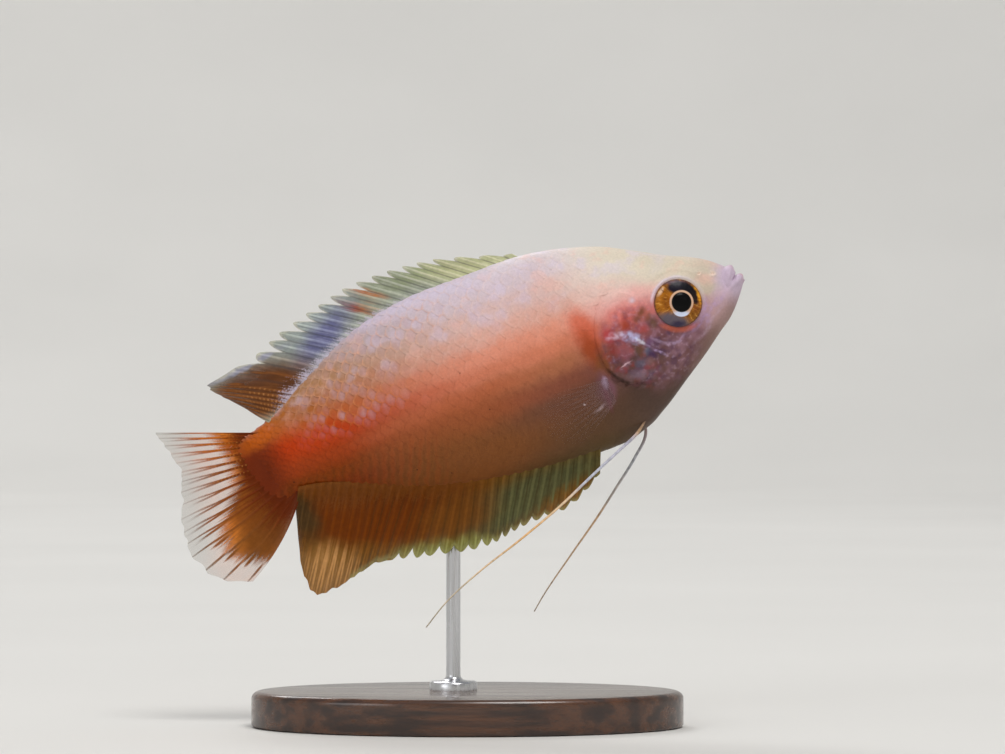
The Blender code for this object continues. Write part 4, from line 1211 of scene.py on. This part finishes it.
def iris_look():
    """Iris and pupil: flecked gold and brown, a dark arc above, and a pale ring round the pupil."""
    look = Look("iris", Roughness=0.3, Coat_Weight=0.07, Coat_Roughness=0.05, Coat_IOR=1.33,
                Specular_IOR_Level=0.1)
    place, pupil = look.vector("place"), (*PUPIL, 0.0)
    rough_place = look.shift(place, 0.25, 2.6)
    colour = look.spots(rgb(168, 104, 30), rough_place, IRIS_WARM)
    heading = look.vector_math("NORMALIZE", look.vector_math("SUBTRACT", place, pupil))
    flecks = look.noise(look.vector_math("MULTIPLY_ADD", place, (0.35, 0.35, 0.0), heading), 5.0, 4.0)
    colour = look.over(colour, (96, 52, 16), look.fade(flecks, 0.50, 0.68, 0.0, 0.7))
    colour = look.over(colour, (230, 172, 84), look.fade(flecks, 0.46, 0.30, 0.0, 0.6))
    colour = look.spots(colour, rough_place, IRIS_DARK)
    colour = look.over(colour, (70, 54, 62), look.fade(look.distance(place), 1.82, 1.99, 0.0, 0.6))
    r = look.distance(place, pupil)
    # The pale ring round the pupil widens at its bottom into a blue-white crescent, which is a painted
    # highlight.
    below = (PUPIL[0], PUPIL[1] - 1.0)
    pale = look.spot(rgb(216, 176, 148), place, (222, 230, 255), below, (0.65, 0.30), 0, 0.5)
    highlight_crescent = look.spot_mask(place, below, (0.7, 0.4), 0, 0.6)
    ring_end = look.math("MULTIPLY_ADD", highlight_crescent, 0.20, PUPIL_RADIUS + 0.13)
    ring = look.math("SUBTRACT", 1.0, look.fade(look.math("SUBTRACT", r, ring_end), 0.0, 0.08))
    colour = look.mix(ring, colour, pale)
    colour = look.over(colour, (5, 4, 5), look.fade(r, PUPIL_RADIUS + 0.03, PUPIL_RADIUS - 0.03))
    look.set("Base Color", colour)
    look.raise_surface(flecks, 0.00003, look.fade(r, PUPIL_RADIUS, PUPIL_RADIUS + 0.1, 0.0, 0.4))
    return look.material


def eye(side, word):
    """An eyeball: a low dome with the iris painted on it, and the lens standing out of the pupil."""
    radius = EYE_RADIUS + 0.06
    front_r = radius * np.sin(np.linspace(0.0, math.pi / 2, EYE_FRONT_RINGS))[1:]
    front_z = EYE_RISE * (1 - (front_r / radius) ** 2) ** 0.8
    turn = np.linspace(0.0, math.pi / 2, EYE_BACK_RINGS)[1:-1]
    r = np.concatenate([front_r, radius * np.cos(turn)])
    z = np.concatenate([front_z, -EYE_DEPTH * np.sin(turn)])
    angles = np.arange(EYE_SIDES) * 2 * math.pi / EYE_SIDES
    x = np.append((r[:, None] * np.cos(angles)).ravel(), (0.0, 0.0))
    y = np.append((r[:, None] * np.sin(angles)).ravel() * EYE_FLAT, (0.0, 0.0))
    z = np.append(np.repeat(z, EYE_SIDES), (EYE_RISE, -EYE_DEPTH))
    # The lens rises from the pupil.
    shift = PUPIL[0] - EYE_RISE * math.sin(EYE_TURN)
    lens = np.hypot(x - shift, y - PUPIL[1])
    z = z + np.where(z > 0, LENS_RISE * np.sqrt(np.clip(1 - (lens / PUPIL_RADIUS) ** 2, 0, 1)), 0)
    # Axes of the eye: to the photo's right, up, and out of the head.
    out = np.array([math.sin(EYE_TURN), side * math.cos(EYE_TURN), EYE_LOOKS_UP])
    out /= np.linalg.norm(out)
    right = np.array([1.0, 0.0, 0.0]) - out * out[0]
    right /= np.linalg.norm(right)
    up = np.cross(right, out) * -side
    offset = x[:, None] * right + y[:, None] * up + z[:, None] * out
    centre = to_world(*EYE, side * (flank(*EYE) - 0.02))
    seen = np.stack([offset[:, 0], offset[:, 2], 0 * x], -1)
    return make_piece(
        "eyeball_" + word, centre + offset * MM, tube_faces(len(r), EYE_SIDES), IRIS, "eye",
        ("eye_" + word,), place=seen,
    )


# Stand and surroundings

def wood_look():
    """Dark walnut with its grain along the base, under a satin lacquer."""
    look = Look("walnut", Roughness=0.3, Coat_Weight=0.4, Coat_Roughness=0.12)
    place = look.node("TexCoord").outputs["Object"]
    grain = look.noise(place, 300.0, 5.0, stretch=(0.25, 4.0, 4.0))
    fine = look.noise(place, 2200.0, 3.0, stretch=(0.12, 3.0, 3.0))
    colour = look.over(rgb(46, 27, 17), (88, 54, 33), look.fade(grain, 0.35, 0.65))
    look.set("Base Color", look.over(colour, (30, 17, 11), look.fade(fine, 0.5, 0.7, 0.0, 0.5)))
    look.set("Roughness", look.fade(grain, 0.3, 0.7, 0.34, 0.24))
    look.raise_surface(fine, 0.00002, 0.4)
    return look.material


def steel_look():
    """Steel, brushed along the rod."""
    look = Look("steel", Metallic=1.0, Roughness=0.28)
    place = look.node("TexCoord").outputs["Object"]
    brushed = look.noise(place, 2600.0, 3.0, stretch=(1.0, 1.0, 0.03))
    look.set("Base Color", look.over(rgb(190, 190, 192), (214, 215, 218), look.fade(brushed, 0.3, 0.7)))
    look.set("Roughness", look.fade(brushed, 0.3, 0.7, 0.22, 0.36))
    look.raise_surface(brushed, 0.00001, 0.4)
    return look.material


def stand():
    """The oval base with a rounded upper edge, and the rod with its turned foot."""
    turn = np.linspace(0, math.pi / 2, 8)
    profile = [(0.0, 0.0), (0.97, 0.0), (0.995, 0.10), (1.0, 0.25)]
    inward = BASE_EDGE / BASE_RADIUS
    profile += [(1.0 - inward * (1 - math.cos(a)), BASE_HEIGHT - BASE_EDGE * (1 - math.sin(a))) for a in turn]
    profile += [(0.5, BASE_HEIGHT), (0.0, BASE_HEIGHT)]
    points, faces = lathe(profile, 160)
    points *= np.array([BASE_LENGTH / 2, BASE_WIDTH / 2, 1.0]) * MM
    make_piece("base", points, faces, wood_look(), "base", ("stand_base",))
    top = rod_top()
    profile = [(0.0, 0.0), (ROD_FOOT_RADIUS, 0.0), (ROD_FOOT_RADIUS, 0.55), (ROD_FOOT_RADIUS - 0.12, 0.68)]
    profile += [(1.15, 0.72)]
    profile += [(ROD_RADIUS + 0.5 * (1 - math.sin(a)), 1.25 - 0.5 * math.cos(a)) for a in turn]
    profile += [(ROD_RADIUS, 6.0), (ROD_RADIUS, top - BASE_HEIGHT), (0.0, top - BASE_HEIGHT)]
    points, faces = lathe(profile, 48)
    points = (points + np.array([ROD_X, ROD_Y, BASE_HEIGHT])) * MM
    make_piece("rod", points, faces, steel_look(), "rod", ("stand_rod",))


def rod_top():
    """The height at which the rod is well inside the flank, in mm above the floor."""
    heights = np.linspace(10.0, SNOUT_Z, 600)
    dx, dz = SNOUT_X - ROD_X, SNOUT_Z - heights
    u = dx * math.cos(NOSE_UP) + dz * math.sin(NOSE_UP)
    v = dx * math.sin(NOSE_UP) - dz * math.cos(NOSE_UP)
    inside = (v > section(u)[1]) & (np.abs(ROD_Y - sway(u)) < flank(u, v) - ROD_INSIDE)
    return heights[inside][0] + ROD_SUNK


# Lights: name, place in metres, size, power and colour.
LIGHTS = (
    ("key", (0.25, -0.45, 1.05), 0.50, 6.5, (1.0, 0.985, 0.96)),
    ("fill", (-0.75, -0.80, 0.45), 0.60, 2.0, (0.95, 0.97, 1.0)),
    ("back", (-0.30, 0.75, 0.85), 0.50, 3.5, (1.0, 1.0, 1.0)),
)
LIT_PLACE = (0.0, 0.0, 0.026)


def surroundings():
    """A pale floor that curves up to a round wall, soft lights and the camera. Sizes are in metres."""
    look = Look("pale_floor", Roughness=0.85)
    place = look.node("TexCoord").outputs["Object"]
    look.set("Base Color", look.mix(look.noise(place, 12.0, 2.0), rgb(216, 214, 210), rgb(226, 224, 220)))
    turn = np.linspace(0, math.pi / 2, 24)
    upper = [(0.7 + 0.5 * math.sin(a), 0.5 * (1 - math.cos(a))) for a in turn]
    profile = [(0.0, 0.0), (0.3, 0.0), *upper, (1.2, 1.1), (1.22, 1.1)]
    profile += [(0.72 + 0.52 * math.sin(a), -0.02 + 0.5 * (1 - math.cos(a))) for a in turn[::-1]]
    profile += [(0.0, -0.02)]
    floor = add_object("floor", add_mesh("floor", *lathe(profile, 96), look.material))
    for light in LIGHTS:
        area_light(*light)
    scene = bpy.context.scene
    scene.world = bpy.data.worlds.new("studio")
    scene.world.use_nodes = True
    background = scene.world.node_tree.nodes["Background"]
    background.inputs["Color"].default_value = (0.86, 0.90, 0.96, 1.0)
    background.inputs["Strength"].default_value = 0.42
    scene.view_settings.view_transform = "Standard"
    camera()


def area_light(name, place, size, power, colour):
    """A soft round light that points at the fish."""
    data = bpy.data.lights.new(name, "AREA")
    data.shape = "DISK"
    data.size = size
    data.energy = power
    data.color = colour
    light = add_object(name, data)
    light.location = place
    light.rotation_mode = "QUATERNION"
    light.rotation_quaternion = (Vector(LIT_PLACE) - Vector(place)).to_track_quat("-Z", "Y")


# The photo is 1005 by 754 pixels, and 12 of them make a millimetre on the fish's middle plane.
PHOTO_WIDTH, PHOTO_HEIGHT = 1005, 754
PIXELS_PER_MM = 12.0
SNOUT_PIXEL = (743.5, 279.0)
CAMERA_AWAY = 0.36
SENSOR = 36.0


def camera():
    """The photo's view: level, square to the fish's right side, with the snout on the photo's pixel."""
    data = bpy.data.cameras.new("camera")
    data.sensor_width = SENSOR
    data.lens = SENSOR * CAMERA_AWAY / (PHOTO_WIDTH / PIXELS_PER_MM * MM)
    data.clip_start, data.clip_end = 0.01, 10.0
    x = SNOUT_X + (PHOTO_WIDTH / 2 - SNOUT_PIXEL[0]) / PIXELS_PER_MM
    z = SNOUT_Z - (PHOTO_HEIGHT / 2 - SNOUT_PIXEL[1]) / PIXELS_PER_MM
    made = add_object("camera", data)
    made.location = (x * MM, -CAMERA_AWAY, z * MM)
    made.rotation_euler = (math.pi / 2, 0.0, 0.0)
    bpy.context.scene.camera = made


FLESH = flesh()
IRIS = iris_look()
skin()
scale_coat(1, "scales_left")
scale_coat(-1, "scales_right")
eye(1, "left")
eye(-1, "right")

dorsal_look = fin_look(
    "dorsal_fin", DORSAL_WEBS, DORSAL_RAYS, (0.4, 0.9, 0.92, 0.72), (0.6, 1.0, 1.0, 0.9),
    line=((64, 60, 64), 0.5, 18.0), rim=((216, 212, 194), 0.75, 18.0),
    beads=(20.0, (196, 136, 78), 0.6, 18.0), base=((202, 192, 212), 0.27, 0.8, 5.0),
)
rays = key_rays(DORSAL_KEYS, 18, 8, 38.0, sunk_root(DORSAL_KEYS, 0, 0.7))
fin_piece("fin_dorsal", rays, dorsal_look, "dorsal_fin", to_world, (0.18, 0.24), fillet=0.45)

anal_look = fin_look(
    "anal_fin", ANAL_WEBS, ANAL_RAYS, (0.55, 1.0, 0.98, 0.84), (0.7, 1.0, 1.0, 0.9),
    line=((62, 48, 16), 0.45, 22.0), rim=((172, 172, 112), 0.5, 22.0), base=((122, 68, 24), 0.30, 0.9, 8.0),
)
rays = key_rays(ANAL_KEYS, 18, 13, 33.0, sunk_root(ANAL_KEYS, 1, 0.7))
fin_piece("fin_anal", rays, anal_look, "anal_fin", to_world, (0.075, 0.10), fillet=0.8)

caudal_look = fin_look(
    "caudal_fin", CAUDAL_WEBS, CAUDAL_RAYS, (0.34, 0.56, 1.0, 0.16), (0.45, 0.95, 1.0, 0.30),
    beads=(26.0, (226, 158, 80), 0.4, 8.0), base=((100, 36, 2), 0.42, 0.95, -7.0), ragged=0.22,
    solid=(7.0, 2.0, 0.28),
)


def caudal_root(at):
    return np.stack([41.6 + STALK_LEAN * at, at * 0.95], -1)


rays = key_rays(CAUDAL_KEYS[::-1], 0, 16, -3.20, caudal_root)
fin_piece(
    "fin_caudal", rays, caudal_look, "caudal_fin", to_world, (0, 0),
    rows=44, ripple=0.08, fillet=0.3, slim=0.75,
)

pectoral_look = fin_look(
    "pectoral_fin", PECTORAL_WEBS, PECTORAL_RAYS, (0.05, 0.55, 0.14, 0.0), (0.08, 0.8, 0.20, 0.03),
)


def pectoral_root(at):
    return np.stack([0 * at, at], -1)


for side, word in ((1, "left"), (-1, "right")):
    rays = key_rays(PECTORAL_KEYS, 0, 11, -1.05, pectoral_root)
    node = "pectoral_fin_" + word
    fan = pectoral_place(side)
    fin_piece("fin_pectoral_" + word, rays, pectoral_look, node, fan, (0, 0), 0.03, (0.10, 0.07), 24, 0.05)

feeler("feeler_left", 1, FAR_FEELER, FAR_THREAD, "pelvic_feeler_left")
feeler("feeler_right", -1, NEAR_FEELER, NEAR_THREAD, "pelvic_feeler_right")
stand()
surroundings()
